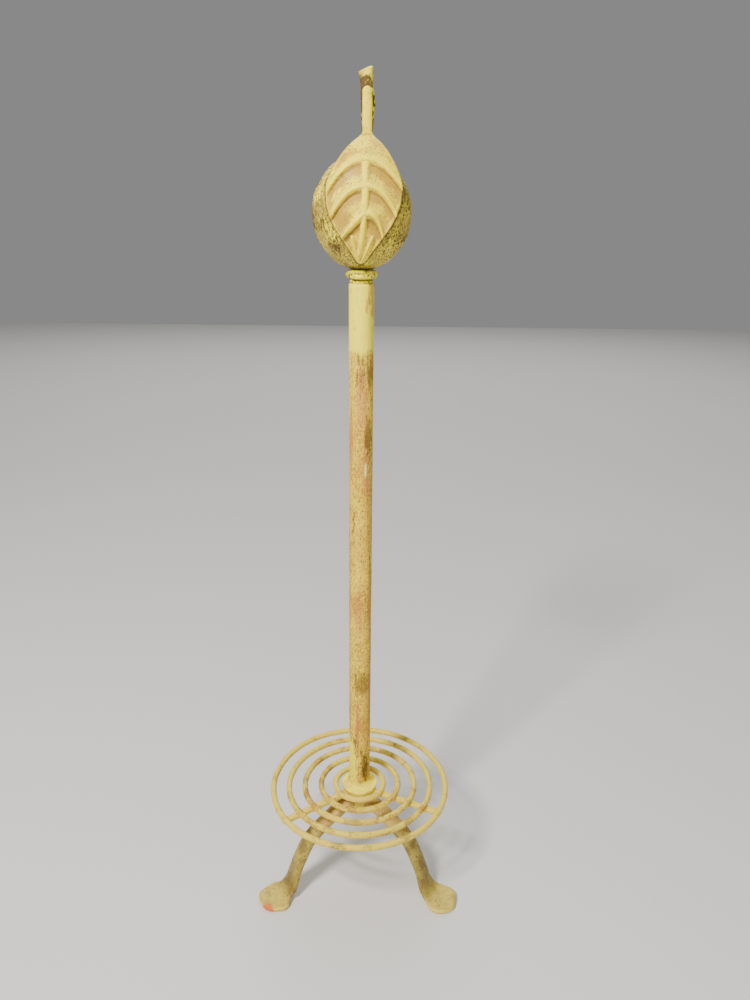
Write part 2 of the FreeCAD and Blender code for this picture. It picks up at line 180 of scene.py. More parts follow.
class PaintBench(Bench):
    """A material's tree, with the patterns that aged paint is made of."""

    def __init__(self, material: bpy.types.Material) -> None:
        """Empties the material's tree and starts from the piece's own coordinates.

        Args:
            material: The material to build.
        """
        material.use_nodes = True
        material.node_tree.nodes.clear()
        super().__init__(material.node_tree)
        self.gloss = 0.22
        self.place = self.field("ShaderNodeTexCoord", output="Object")
        self.material = material

    def moved(self, offset: Point, stretch: Point) -> Field:
        """The piece's coordinates, shifted and stretched.

        Args:
            offset: The shift in metres, so that two patterns don't line up.
            stretch: A factor for each axis, where a small one draws the pattern out along it.

        Returns:
            The changed coordinates.
        """
        values = {"Vector": self.place, "Location": offset, "Scale": stretch}
        return self.field("ShaderNodeMapping", {"vector_type": "POINT"}, values)

    def grain(
        self,
        size: float,
        detail: float = 2.0,
        offset: Point = (0.0, 0.0, 0.0),
        stretch: Point = (1.0, 1.0, 1.0),
        rough: float = 0.55,
    ) -> Field:
        """Cloudy noise.

        Args:
            size: The size of its clouds in metres.
            detail: How many finer layers it has.
            offset: Its shift in metres.
            stretch: A factor for each axis.
            rough: How strong the finer layers are.

        Returns:
            The noise, about 0.5 on average.
        """
        values = {
            "Vector": self.moved(offset, stretch),
            "Scale": 1.0 / size,
            "Detail": detail,
            "Roughness": rough,
        }
        return self.field("ShaderNodeTexNoise", {"noise_dimensions": "3D"}, values)

    def pits(self, size: float, offset: Point, stretch: Point = (1.0, 1.0, 1.0)) -> Field:
        """The distance from scattered points, as a share of their spacing.

        Args:
            size: The spacing in metres.
            offset: The pattern's shift in metres.
            stretch: A factor for each axis.

        Returns:
            0 at each point, rising around it.
        """
        values = {"Vector": self.moved(offset, stretch), "Scale": 1.0 / size}
        return self.field("ShaderNodeTexVoronoi", {"feature": "F1"}, values)

    def height(self) -> Field:
        """The height above the floor in metres."""
        return self.field("ShaderNodeSeparateXYZ", None, {0: self.place}, "Z")

    def across(self) -> Field:
        """The place from left to right in metres."""
        return self.field("ShaderNodeSeparateXYZ", None, {0: self.place}, "X")

    def mark(self, name: str) -> Field:
        """A share that the piece's mesh carries at each point."""
        settings = {"attribute_type": "GEOMETRY", "attribute_name": name}
        return self.field("ShaderNodeAttribute", settings, None, "Fac")

    def mix(self, under: object, over: object, share: Field | float) -> Field:
        """Lays one colour over another.

        Args:
            under: The colour below, a field or a colour.
            over: The colour on top.
            share: How much of the top colour shows.

        Returns:
            The mixed colour.
        """
        settings = {"data_type": "RGBA", "clamp_factor": True}
        values = {0: share, 6: self.solid(under), 7: self.solid(over)}
        return self.field("ShaderNodeMix", settings, values, 2)

    @staticmethod
    def solid(colour: object) -> object:
        """A plain colour with its alpha, or the field as it is."""
        return colour if isinstance(colour, Field) else (*colour, 1.0)

    def finish(
        self,
        colour: Field,
        roughness: Field,
        relief: Field,
        depth: float,
        metallic: Field | float = 0.0,
    ) -> bpy.types.Material:
        """Closes the tree with one shader.

        Args:
            colour: The base colour.
            roughness: The roughness.
            relief: The height pattern of the surface.
            depth: The relief's height in metres.
            metallic: How far bare metal shows.

        Returns:
            The material.
        """
        bump = self.field("ShaderNodeBump", None, {"Height": relief, "Distance": depth, "Strength": 1.0})
        values = {
            "Base Color": colour,
            "Roughness": roughness,
            "Metallic": metallic,
            "Normal": bump,
            "Specular IOR Level": self.gloss,
        }
        shader = self.node("ShaderNodeBsdfPrincipled", None, values)
        self.node("ShaderNodeOutputMaterial", None, {"Surface": shader.outputs[0]})
        return self.material


# ---------------------------------------------------------------------------------------------
# Finishes
# ---------------------------------------------------------------------------------------------


class Coat(Enum):
    """The colours of the old paint's layers."""

    LEMON = (0.97, 0.83, 0.032)
    CREAM = (0.94, 0.83, 0.22)
    STRAW = (0.72, 0.55, 0.060)
    KHAKI = (0.36, 0.26, 0.045)
    # Dark brown for real dirt specks and for painted shade in gaps and creases.
    DIRT_AND_SHADE = (0.11, 0.060, 0.015)
    TAN = (0.42, 0.20, 0.030)
    BLUSH = (0.76, 0.45, 0.15)
    ROSE = (0.50, 0.18, 0.055)
    UMBER = (0.060, 0.024, 0.006)
    SOOT = (0.012, 0.007, 0.004)
    RUST = (0.72, 0.11, 0.02)


Coating = tuple[Field, Field, Field]


@dataclass(frozen=True)
class AgedPaint:
    """Yellow-green paint, dulled in clouds, rubbed and peppered with brown."""

    name: str
    clean: Colour = Coat.LEMON.value
    dull: Colour = Coat.STRAW.value
    rubbed: Colour = Coat.TAN.value
    specks: Colour = Coat.UMBER.value
    dulling: float = 0.5
    rubbing: float = 0.35
    speckle: float = 0.4
    speck_size: float = 0.9 * MM
    cloud_size: float = 7.0 * MM
    along: Point = (1.0, 1.0, 1.0)
    seed: float = 0.0
    dented: float = 0.25 * MM

    def shift(self, step: float) -> Point:
        """An offset for one of the patterns, different for each finish and step."""
        return (0.013 * step + self.seed, 0.007 * step, 0.011 * step)

    def layers(self, bench: PaintBench) -> Coating:
        """Builds the paint's colour.

        Args:
            bench: The material's tree.

        Returns:
            The colour, how far the paint is worn, and the surface's relief.
        """
        clouds = bench.grain(self.cloud_size, 3.0, self.shift(1), self.along)
        fine = bench.grain(self.speck_size, 3.0, self.shift(2), self.along, 0.65)
        broad = bench.grain(self.cloud_size * 2.1, 4.0, self.shift(3), self.along, 0.62)
        start = 0.68 - self.dulling * 0.4
        dull = clouds.broken(fine, 0.35).step(start, start + 0.12)
        colour = bench.mix(self.clean, self.dull, dull * 0.85)
        start = 0.78 - self.rubbing * 0.4
        rubbed = broad.broken(fine, 0.55).step(start, start + 0.12)
        colour = bench.mix(colour, self.rubbed, rubbed * 0.8)
        start = 0.69 - self.speckle * 0.2
        peppered = (fine * 0.75 + broad * 0.25).step(start, start + 0.06)
        colour = bench.mix(colour, self.specks, peppered * 0.85)
        holes = bench.pits(self.speck_size * 4.2, self.shift(4), self.along)
        hole = holes.broken(fine, 0.3).step(0.13, 0.05)
        colour = bench.mix(colour, Coat.SOOT.value, hole * 0.75)
        worn = rubbed.highest(peppered)
        relief = clouds * 0.55 + fine * 0.25 - worn * 0.3 - hole * 0.3
        return colour, worn, relief

    def coat(self, bench: PaintBench) -> Coating:
        """Builds the whole finish.

        Args:
            bench: The material's tree.

        Returns:
            Its colour, its roughness and its relief.
        """
        colour, worn, relief = self.layers(bench)
        return colour, worn * 0.2 + 0.5, relief

    def material(self) -> bpy.types.Material:
        """Makes the material."""
        bench = PaintBench(bpy.data.materials.new(self.name))
        return bench.finish(*self.coat(bench), self.dented)


@dataclass(frozen=True)
class Patch:
    """One ragged patch on the post: its colour, its middle, its half width and height."""

    colour: Colour
    x: float
    z: float
    half_width: float
    half_height: float
    strength: float = 0.8
    raggedness: float = 5.5
    gone_at: float = 1.3
    full_at: float = 0.4

    def share(self, bench: PaintBench, ragged: Field) -> Field:
        """How much of the patch shows at each point.

        Args:
            bench: The material's tree.
            ragged: Noise that breaks up the patch's edge.

        Returns:
            0 outside the patch and its strength inside.
        """
        across = (bench.across() - self.x) * (1 / self.half_width)
        up = (bench.height() - self.z) * (1 / self.half_height)
        away = (across * across + up * up).broken(ragged, self.raggedness)
        return away.step(self.gone_at, self.full_at) * self.strength


@dataclass(frozen=True)
class PostPaint(AgedPaint):
    """The post's paint: clean above the roll's top edge, rubbed in long streaks below it."""

    clean_above: float = 0.338
    clean_blur: float = 2.0 * MM
    ragged: float = 6.0 * MM
    warmed: Colour = (0.76, 0.43, 0.04)
    scuffed_from: float = 0.352
    scuffed_to: float = 0.360
    patches: tuple[Patch, ...] = (
        Patch((0.62, 0.29, 0.07), 0.5 * MM, 0.313, 2.8 * MM, 18 * MM, 0.7),
        Patch(Coat.UMBER.value, 4.6 * MM, 0.327, 1.8 * MM, 7 * MM, 0.62),
        Patch(Coat.UMBER.value, 3.8 * MM, 0.293, 1.9 * MM, 12 * MM, 0.62),
        Patch(Coat.CREAM.value, 2.6 * MM, 0.2755, 0.7 * MM, 5 * MM, 1.0),
        Patch(Coat.ROSE.value, -0.3 * MM, 0.190, 2.2 * MM, 14 * MM, 0.5),
        Patch(Coat.UMBER.value, 0.5 * MM, 0.142, 5.0 * MM, 8 * MM, 0.6),
        Patch(Coat.ROSE.value, -1.2 * MM, 0.114, 1.0 * MM, 20 * MM),
        Patch(Coat.LEMON.value, -5.0 * MM, 0.083, 3.4 * MM, 20 * MM, 1.0),
        Patch(Coat.UMBER.value, 3.4 * MM, 0.081, 2.2 * MM, 11 * MM, 0.85),
        Patch(Coat.LEMON.value, 0.0 * MM, 0.062, 9.0 * MM, 6 * MM, 0.9),
    )

    def coat(self, bench: PaintBench) -> Coating:
        """Builds the whole finish.

        Args:
            bench: The material's tree.

        Returns:
            Its colour, its roughness and its relief.
        """
        colour, worn, relief = self.layers(bench)
        edge = bench.grain(4.0 * MM, 3.0, self.shift(6), (1.0, 1.0, 0.35))
        height = bench.height().broken(edge, self.ragged * 2.0)
        below = height.step(self.clean_above + self.clean_blur, self.clean_above - self.clean_blur)
        streaks = bench.grain(5.0 * MM, 3.0, self.shift(7), (1.0, 1.0, 0.07), 0.6)
        dashes = bench.grain(1.1 * MM, 3.0, self.shift(8), (1.0, 1.0, 0.3), 0.7)
        brown = bench.grain(7.0 * MM, 4.0, self.shift(9), (1.0, 1.0, 0.16), 0.65)
        specks = bench.grain(0.6 * MM, 2.0, self.shift(11), (1.0, 1.0, 0.6), 0.5)
        used = bench.mix(colour, self.warmed, 0.55)
        used = bench.mix(used, Coat.ROSE.value, streaks.broken(dashes, 0.4).step(0.50, 0.66) * 0.7)
        used = bench.mix(used, Coat.UMBER.value, brown.broken(dashes, 0.7).step(0.60, 0.70) * 0.7)
        for patch in self.patches:
            used = bench.mix(used, patch.colour, patch.share(bench, dashes))
        used = bench.mix(used, Coat.DIRT_AND_SHADE.value, specks.step(0.57, 0.68) * 0.65)
        used = bench.mix(used, Coat.CREAM.value, dashes.broken(streaks, 0.3).step(0.70, 0.74) * 0.9)
        clean = bench.mix(self.clean, Coat.STRAW.value, edge.step(0.40, 0.75) * 0.4)
        right = bench.across().step(0.5 * MM, 4.0 * MM)
        right = right * bench.height().step(self.scuffed_from, self.scuffed_to)
        scuff = (bench.grain(3.0 * MM, 4.0, self.shift(10), (1.0, 1.0, 0.4)) + right * 0.2).step(0.58, 0.72)
        clean = bench.mix(clean, Coat.ROSE.value, scuff * 0.6)
        clean = bench.mix(clean, Coat.UMBER.value, (dashes + right * 0.12).step(0.70, 0.76) * 0.7)
        roughness = (worn * 0.2 + 0.15) * below + 0.42
        return bench.mix(clean, used, below), roughness, relief * (below * 0.8 + 0.2)


@dataclass(frozen=True)
class MarkedPaint(AgedPaint):
    """Paint that follows the mesh's marks: "ridge" is lighter, "hollow" browns, "bare" is rubbed through and
    the dark mark darkens. On the leaf's veins and rims and on the feet's rims the lighter ridge is a painted
    highlight; under each leaf vein the brown hollow is painted shade; the dark mark is real dirt together
    with painted shade in gaps, creases and along the leaf's edge.
    """

    ridge: Colour = Coat.CREAM.value
    hollow: Colour = Coat.ROSE.value
    bare: Colour = Coat.UMBER.value
    ridge_share: float = 0.8
    hollow_share: float = 0.5

    def coat(self, bench: PaintBench) -> Coating:
        """Builds the whole finish.

        Args:
            bench: The material's tree.

        Returns:
            Its colour, its roughness and its relief.
        """
        colour, worn, relief = self.layers(bench)
        fine = bench.grain(1.3 * MM, 3.0, self.shift(11), self.along, 0.65)
        flecks = bench.grain(1.1 * MM, 2.0, self.shift(12), self.along, 0.6).step(0.60, 0.68)
        # Browner where marked; the band under each leaf vein is painted shade.
        hollows = bench.mark("hollow").broken(fine, 0.8).step(0.35, 0.85)
        # Lighter where marked; on the leaf's veins and rims and the feet's rims this is a painted highlight.
        ridges = bench.mark("ridge").broken(fine, 0.7).step(0.3, 0.9)
        rubbed = bench.mark("bare").broken(fine, 0.9).step(0.35, 0.6)
        # Darker where marked: real dirt, and painted shade in gaps, creases and along the leaf's edge.
        dirt = (bench.mark("dirt") * (fine * 0.8 + 0.6)).clamped()
        colour = bench.mix(colour, self.hollow, hollows * self.hollow_share)
        colour = bench.mix(colour, self.ridge, ridges * self.ridge_share)
        colour = bench.mix(colour, self.bare, rubbed * 0.9)
        colour = bench.mix(colour, Coat.BLUSH.value, flecks * rubbed * 0.55)
        colour = bench.mix(colour, Coat.DIRT_AND_SHADE.value, dirt * 0.85)
        return colour, worn.highest(rubbed) * 0.22 + 0.40, relief


@dataclass(frozen=True)
class BareSteel:
    """Dull zinc-grey steel with a fine turned or drawn grain."""

    name: str
    colour: Colour = (0.42, 0.41, 0.39)
    stained: Colour = (0.20, 0.14, 0.09)

    def material(self) -> bpy.types.Material:
        """Makes the material.

        Returns:
            The material.
        """
        bench = PaintBench(bpy.data.materials.new(self.name))
        bench.gloss = 0.5
        lines = bench.grain(0.35 * MM, 2.0, (0.01, 0.0, 0.0), (0.4, 0.4, 3.0))
        stain = bench.grain(3.0 * MM, 4.0, (0.02, 0.01, 0.0)).step(0.50, 0.68)
        colour = bench.mix(self.colour, self.stained, stain * 0.6)
        roughness = lines * 0.2 + stain * 0.2 + 0.28
        return bench.finish(colour, roughness, lines - stain * 0.4, 0.04 * MM, 0.9 - stain * 0.5)


# ---------------------------------------------------------------------------------------------
# Meshes
# ---------------------------------------------------------------------------------------------


def wobble(place: Vector, size: float, seed: float) -> float:
    """Smooth noise at a place.

    Args:
        place: The point in metres.
        size: The size of the noise's bumps in metres.
        seed: A number that gives each piece noise of its own.

    Returns:
        A value of about -1 to 1.
    """
    return noise.noise(place / size + Vector((seed, 2.7 * seed, -1.9 * seed)))


def ramp(value: float, start: float, end: float) -> float:
    """A straight ramp from 0 at its start to 1 at its end, which may be the lower of the two."""
    return min(1.0, max(0.0, (value - start) / (end - start)))


def hump(value: float, width: float, power: int = 2) -> float:
    """A smooth hump of height 1 about zero, down to about a third at its width."""
    return math.exp(-((value / width) ** power))


def outwards(place: Vector) -> Vector:
    """The level direction from the post's axis to a point."""
    return Vector((place.x, place.y, 0.0)).normalized()


def half_span(node: str) -> float:
    """Half a node's width from left to right, which is its radius where it is round."""
    low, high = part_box(node)
    return (high.x - low.x) / 2


def mesh_piece(name: str, points: Sequence[Point], faces: Sequence[Sequence[int]]) -> bpy.types.Object:
    """Makes a smooth-shaded object.

    Args:
        name: The piece's name.
        points: Its vertices in metres.
        faces: Its faces, as lists of vertex numbers, anticlockwise from outside.

    Returns:
        The new object.
    """
    mesh = bpy.data.meshes.new(name)
    mesh.from_pydata([tuple(point) for point in points], [], [tuple(face) for face in faces])
    mesh.validate()
    piece = bpy.data.objects.new(name, mesh)
    bpy.context.scene.collection.objects.link(piece)
    mesh.shade_smooth()
    return piece


def grid_faces(rows: int, columns: int, wrap: bool) -> list[tuple[int, int, int, int]]:
    """Quads between rows of points.

    Args:
        rows: How many rows of points there are.
        columns: How many points a row has.
        wrap: True if each row is a closed loop.

    Returns:
        The faces.
    """
    faces = []
    last = columns if wrap else columns - 1
    for row in range(rows - 1):
        for column in range(last):
            right = (column + 1) % columns
            low, high = row * columns, (row + 1) * columns
            faces.append((low + column, low + right, high + right, high + column))
    return faces


def two_skins(name: str, front: list[Vector], back: list[Vector], columns: int) -> bpy.types.Object:
    """Joins two grids of points, one behind the other, into a closed sheet.

    Args:
        name: The piece's name.
        front: The front skin's points in rows from below, each row from left to right.
        back: The back skin's points in the same order.
        columns: How many points a row has.

    Returns:
        The new object.
    """
    count = len(front)
    rows = count // columns
    faces: list[Sequence[int]] = []
    for face in grid_faces(rows, columns, False):
        faces.append(face)
        faces.append(tuple(corner + count for corner in reversed(face)))
    rim = list(range(columns))
    rim += [row * columns + columns - 1 for row in range(1, rows)]
    rim += [count - columns + column for column in range(columns - 2, -1, -1)]
    rim += [row * columns for row in range(rows - 2, 0, -1)]
    for here, ahead in zip(rim, rim[1:] + rim[:1]):
        faces.append((ahead, here, here + count, ahead + count))
    return mesh_piece(name, front + back, faces)


def lofted(name: str, loops: Sequence[Sequence[Vector]]) -> bpy.types.Object:
    """Joins closed loops of points into a skin, closed at both ends.

    Args:
        name: The piece's name.
        loops: Loops with equal numbers of points, each seen anticlockwise from the last one.

    Returns:
        The new object.
    """
    count = len(loops[0])
    points = [point for loop in loops for point in loop]
    faces: list[Sequence[int]] = list(grid_faces(len(loops), count, True))
    for loop, first, outward in ((loops[0], 0, False), (loops[-1], count * (len(loops) - 1), True)):
        middle = sum(loop, Vector()) / count
        points.append(middle)
        centre = len(points) - 1
        for index in range(count):
            ahead = first + (index + 1) % count
            here = first + index
            faces.append((here, ahead, centre) if outward else (ahead, here, centre))
    return mesh_piece(name, points, faces)


def lathed(
    name: str,
    outline: Sequence[tuple[float, float]],
    segments: int,
    shape: Callable[[Vector], Vector] | None = None,
) -> bpy.types.Object:
    """Turns a closed outline about the post's axis.

    Args:
        name: The piece's name.
        outline: Points of radius and height, anticlockwise, none of them on the axis.
        segments: How many steps go round.
        shape: What is done to each point in the end.

    Returns:
        The new object.
    """
    points = []
    for step in range(segments):
        angle = 2 * math.pi * step / segments
        for radius, height in outline:
            point = Vector((radius * math.cos(angle), radius * math.sin(angle), height))
            points.append(shape(point) if shape else point)
    count = len(outline)
    faces = []
    for step in range(segments):
        here, ahead = step * count, (step + 1) % segments * count
        for index in range(count):
            right = (index + 1) % count
            faces.append((here + index, ahead + index, ahead + right, here + right))
    return mesh_piece(name, points, faces)


def rounded_section(width: float, thickness: float, power: float, count: int) -> list[tuple[float, float]]:
    """A rounded rectangle about the origin.

    Args:
        width: Its full width.
        thickness: Its full thickness.
        power: 2 for an ellipse, more for squarer corners.
        count: How many points it has.

    Returns:
        Its points, anticlockwise.
    """
    points = []
    for index in range(count):
        angle = 2 * math.pi * index / count
        across, up = (
            math.copysign(abs(share) ** (2 / power), share) for share in (math.cos(angle), math.sin(angle))
        )
        points.append((across * width / 2, up * thickness / 2))
    return points


def read_curve(stops: Stops, place: float) -> float:
    """Reads a smooth curve that passes through its stops.

    Args:
        stops: Places in rising order, each with the curve's value there.
        place: Where to read.

    Returns:
        The value there.
    """
    if place <= stops[0][0]:
        return stops[0][1]
    if place >= stops[-1][0]:
        return stops[-1][1]
    index = next(number for number, stop in enumerate(stops) if place <= stop[0])
    (x0, y0), (x1, y1) = stops[index - 1], stops[index]
    rise = (y1 - y0) / (x1 - x0)
    slopes = []
    for near, far in ((index - 2, index), (index - 1, index + 1)):
        if near < 0 or far >= len(stops):
            slopes.append(rise)
        else:
            slopes.append((stops[far][1] - stops[near][1]) / (stops[far][0] - stops[near][0]))
    t = (place - x0) / (x1 - x0)
    ends = y0 * (1 + 2 * t) * (1 - t) ** 2 + y1 * t * t * (3 - 2 * t)
    return ends + (x1 - x0) * (slopes[0] * t * (1 - t) ** 2 + slopes[1] * t * t * (t - 1))


def smooth_curve(points: Stops, steps: int) -> list[tuple[float, float]]:
    """A smooth line through points in a plane.

    Args:
        points: The points that it passes through.
        steps: How many pieces each stretch is divided into.

    Returns:
        The line's points.
    """
    padded = [points[0], *points, points[-1]]
    line = []
    for index in range(1, len(padded) - 2):
        a, b, c, d = (Vector(padded[index + k]) for k in (-1, 0, 1, 2))
        for step in range(steps):
            t = step / steps
            spot = 0.5 * (
                2 * b + (c - a) * t + (2 * a - 5 * b + 4 * c - d) * t * t + (3 * b - a - 3 * c + d) * t**3
            )
            line.append((spot.x, spot.y))
    line.append(tuple(points[-1]))
    return line


def give_marks(piece: bpy.types.Object, **marks: Sequence[float]) -> None:
    """Stores marks on a piece's mesh.

    Args:
        piece: The piece.
        marks: For each mark's name, a share for each point.
    """
    for name, values in marks.items():
        mark = piece.data.attributes.new(name, "FLOAT", "POINT")
        mark.data.foreach_set("value", list(values))


def dress(
    piece: bpy.types.Object,
    finish: bpy.types.Material,
    body: str,
    stands_for: Iterable[str] = (),
) -> bpy.types.Object:
    """Finishes a piece and puts it on its body.

    Args:
        piece: The new piece.
        finish: Its material.
        body: The body that it moves with.
        stands_for: The nodes that it is shown for.

    Returns:
        The piece.
    """
    piece.data.materials.clear()
    piece.data.materials.append(finish)
    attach(piece, body)
    if stands_for:
        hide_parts(*stands_for)
    LOG.info("%s rides on %s, %d faces", piece.name, body, len(piece.data.polygons))
    return piece


def dress_node(name: str, finish: bpy.types.Material) -> None:
    """Gives a node of the frame a better material.

    Args:
        name: The node, which keeps its mesh.
        finish: The material.
    """
    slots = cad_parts[name].data.materials
    slots.clear()
    slots.append(finish)
    LOG.info("%s keeps its own shape", name)


@dataclass(frozen=True)
class Arm:
    """How a spoke or a leg lies: its level direction, the one across it, and its extent along both."""

    way: Vector
    side: Vector
    start: float
    reach: float
    width: float


def arm_of(node: str) -> Arm:
    """Measures a node that reaches outwards.

    Args:
        node: The node.

    Returns:
        How it lies.
    """
    corners = [vertex.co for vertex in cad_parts[node].data.vertices]
    furthest = max(corner.xy.length for corner in corners)
    ends = [corner.xy for corner in corners if corner.xy.length > furthest - 0.3 * MM]
    middle = sum(ends, Vector((0.0, 0.0)))
    way = outwards(middle.to_3d())
    side = Vector((-way.y, way.x, 0.0))
    along = [corner.dot(way) for corner in corners]
    width = 2 * max(abs(corner.dot(side)) for corner in corners)
    return Arm(way, side, min(along), max(along), width)


# ---------------------------------------------------------------------------------------------
# Geometry Nodes
# ---------------------------------------------------------------------------------------------


class Recipe(Bench):
    """A Geometry Nodes tree with named inputs, run once to give a plain mesh."""

    def __init__(self, name: str, sizes: Mapping[str, float | int]) -> None:
        """Starts the tree.

        Args:
            name: The tree's name.
            sizes: Its inputs and their values. A whole number makes an integer input.
        """
        super().__init__(bpy.data.node_groups.new(name, "GeometryNodeTree"))
        face = self.tree.interface
        face.new_socket("Geometry", in_out="INPUT", socket_type="NodeSocketGeometry")
        face.new_socket("Geometry", in_out="OUTPUT", socket_type="NodeSocketGeometry")
        self.sizes = dict(sizes)
        for size, value in sizes.items():
            kind = "NodeSocketInt" if isinstance(value, int) else "NodeSocketFloat"
            face.new_socket(size, in_out="INPUT", socket_type=kind)
        face.new_socket("Finish", in_out="INPUT", socket_type="NodeSocketMaterial")
        self.inlet = self.node("NodeGroupInput")

    def size(self, name: str) -> Field:
        """One of the named inputs."""
        return Field(self, self.inlet.outputs[name])

    def vector(self, x: object, y: object, z: object) -> Field:
        """A vector of three values."""
        return self.field("ShaderNodeCombineXYZ", None, {0: x, 1: y, 2: z})

    def bumps(self, scale: object, seed: object) -> Field:
        """A random push in every direction, about zero.

        Args:
            scale: How many bumps there are to a metre.
            seed: The pattern's seed.

        Returns:
            A vector from -0.5 to 0.5 in each direction.
        """
        values = {"W": seed, "Scale": scale, "Detail": 1.0}
        cloud = self.field("ShaderNodeTexNoise", {"noise_dimensions": "4D"}, values, "Color")
        settings = {"operation": "SUBTRACT"}
        return self.field("ShaderNodeVectorMath", settings, {0: cloud, 1: (0.5, 0.5, 0.5)})

    def scaled(self, vector: Field, factor: object) -> Field:
        """A vector times a number."""
        return self.field("ShaderNodeVectorMath", {"operation": "SCALE"}, {0: vector, "Scale": factor})

    def moved(self, geometry: object, offset: Field) -> Field:
        """Geometry with each point pushed by an offset."""
        return self.field("GeometryNodeSetPosition", None, {"Geometry": geometry, "Offset": offset})

    def circle(self, radius: Field, points: int) -> Field:
        """A circle of so many points."""
        values = {"Resolution": points, "Radius": radius}
        return self.field("GeometryNodeCurvePrimitiveCircle", {"mode": "RADIUS"}, values)

    def any_between(self, low: Point, high: Point) -> Field:
        """A random vector for each point, between two others."""
        values = {"Min": low, "Max": high, "Seed": self.size("Seed")}
        return self.field("FunctionNodeRandomValue", {"data_type": "FLOAT_VECTOR"}, values)

    def made(
        self, name: str, shape: Field, finish: bpy.types.Material, base: bpy.types.Mesh | None = None
    ) -> bpy.types.Object:
        """Closes the tree, runs it and keeps the result as a plain mesh.

        Args:
            name: The piece's name.
            shape: The geometry to keep.
            finish: The material for it.
            base: The mesh that the tree starts from, if it starts from one.

        Returns:
            The new object, with no modifier.
        """
        smooth = self.field("GeometryNodeSetShadeSmooth", None, {"Geometry": shape})
        real = self.field("GeometryNodeRealizeInstances", None, {"Geometry": smooth})
        painted = {"Geometry": real, "Material": self.size("Finish")}
        last = self.field("GeometryNodeSetMaterial", None, painted)
        self.node("NodeGroupOutput", None, {0: last})
        piece = bpy.data.objects.new(name, base or bpy.data.meshes.new(name))
        bpy.context.scene.collection.objects.link(piece)
        modifier = piece.modifiers.new("recipe", "NODES")
        modifier.node_group = self.tree
        values = {**self.sizes, "Finish": finish}
        for socket in self.tree.interface.items_tree:
            if socket.in_out == "INPUT" and socket.name in values:
                modifier[socket.identifier] = values[socket.name]
        bpy.context.view_layer.update()
        graph = bpy.context.evaluated_depsgraph_get()
        mesh = bpy.data.meshes.new_from_object(piece.evaluated_get(graph), depsgraph=graph)
        mesh.name = name
        mesh.materials.clear()
        mesh.materials.append(finish)
        mesh.polygons.foreach_set("material_index", [0] * len(mesh.polygons))
        piece.modifiers.clear()
        piece.data = mesh
        return piece


# ---------------------------------------------------------------------------------------------
# The stand
# ---------------------------------------------------------------------------------------------


@dataclass(frozen=True)
class Ring:
    """One wire ring: its node, and how dulled, rubbed and speckled its paint is."""

    node: str
    dulling: float
    rubbing: float
    speckle: float

    def sizes(self) -> tuple[float, float, float]:
        """Measures the node.

        Returns:
            Its centre line's radius, its wire's radius and its height above the floor.
        """
        low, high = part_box(self.node)
        wire = (high.z - low.z) / 2
        return half_span(self.node) - wire, wire, (high.z + low.z) / 2


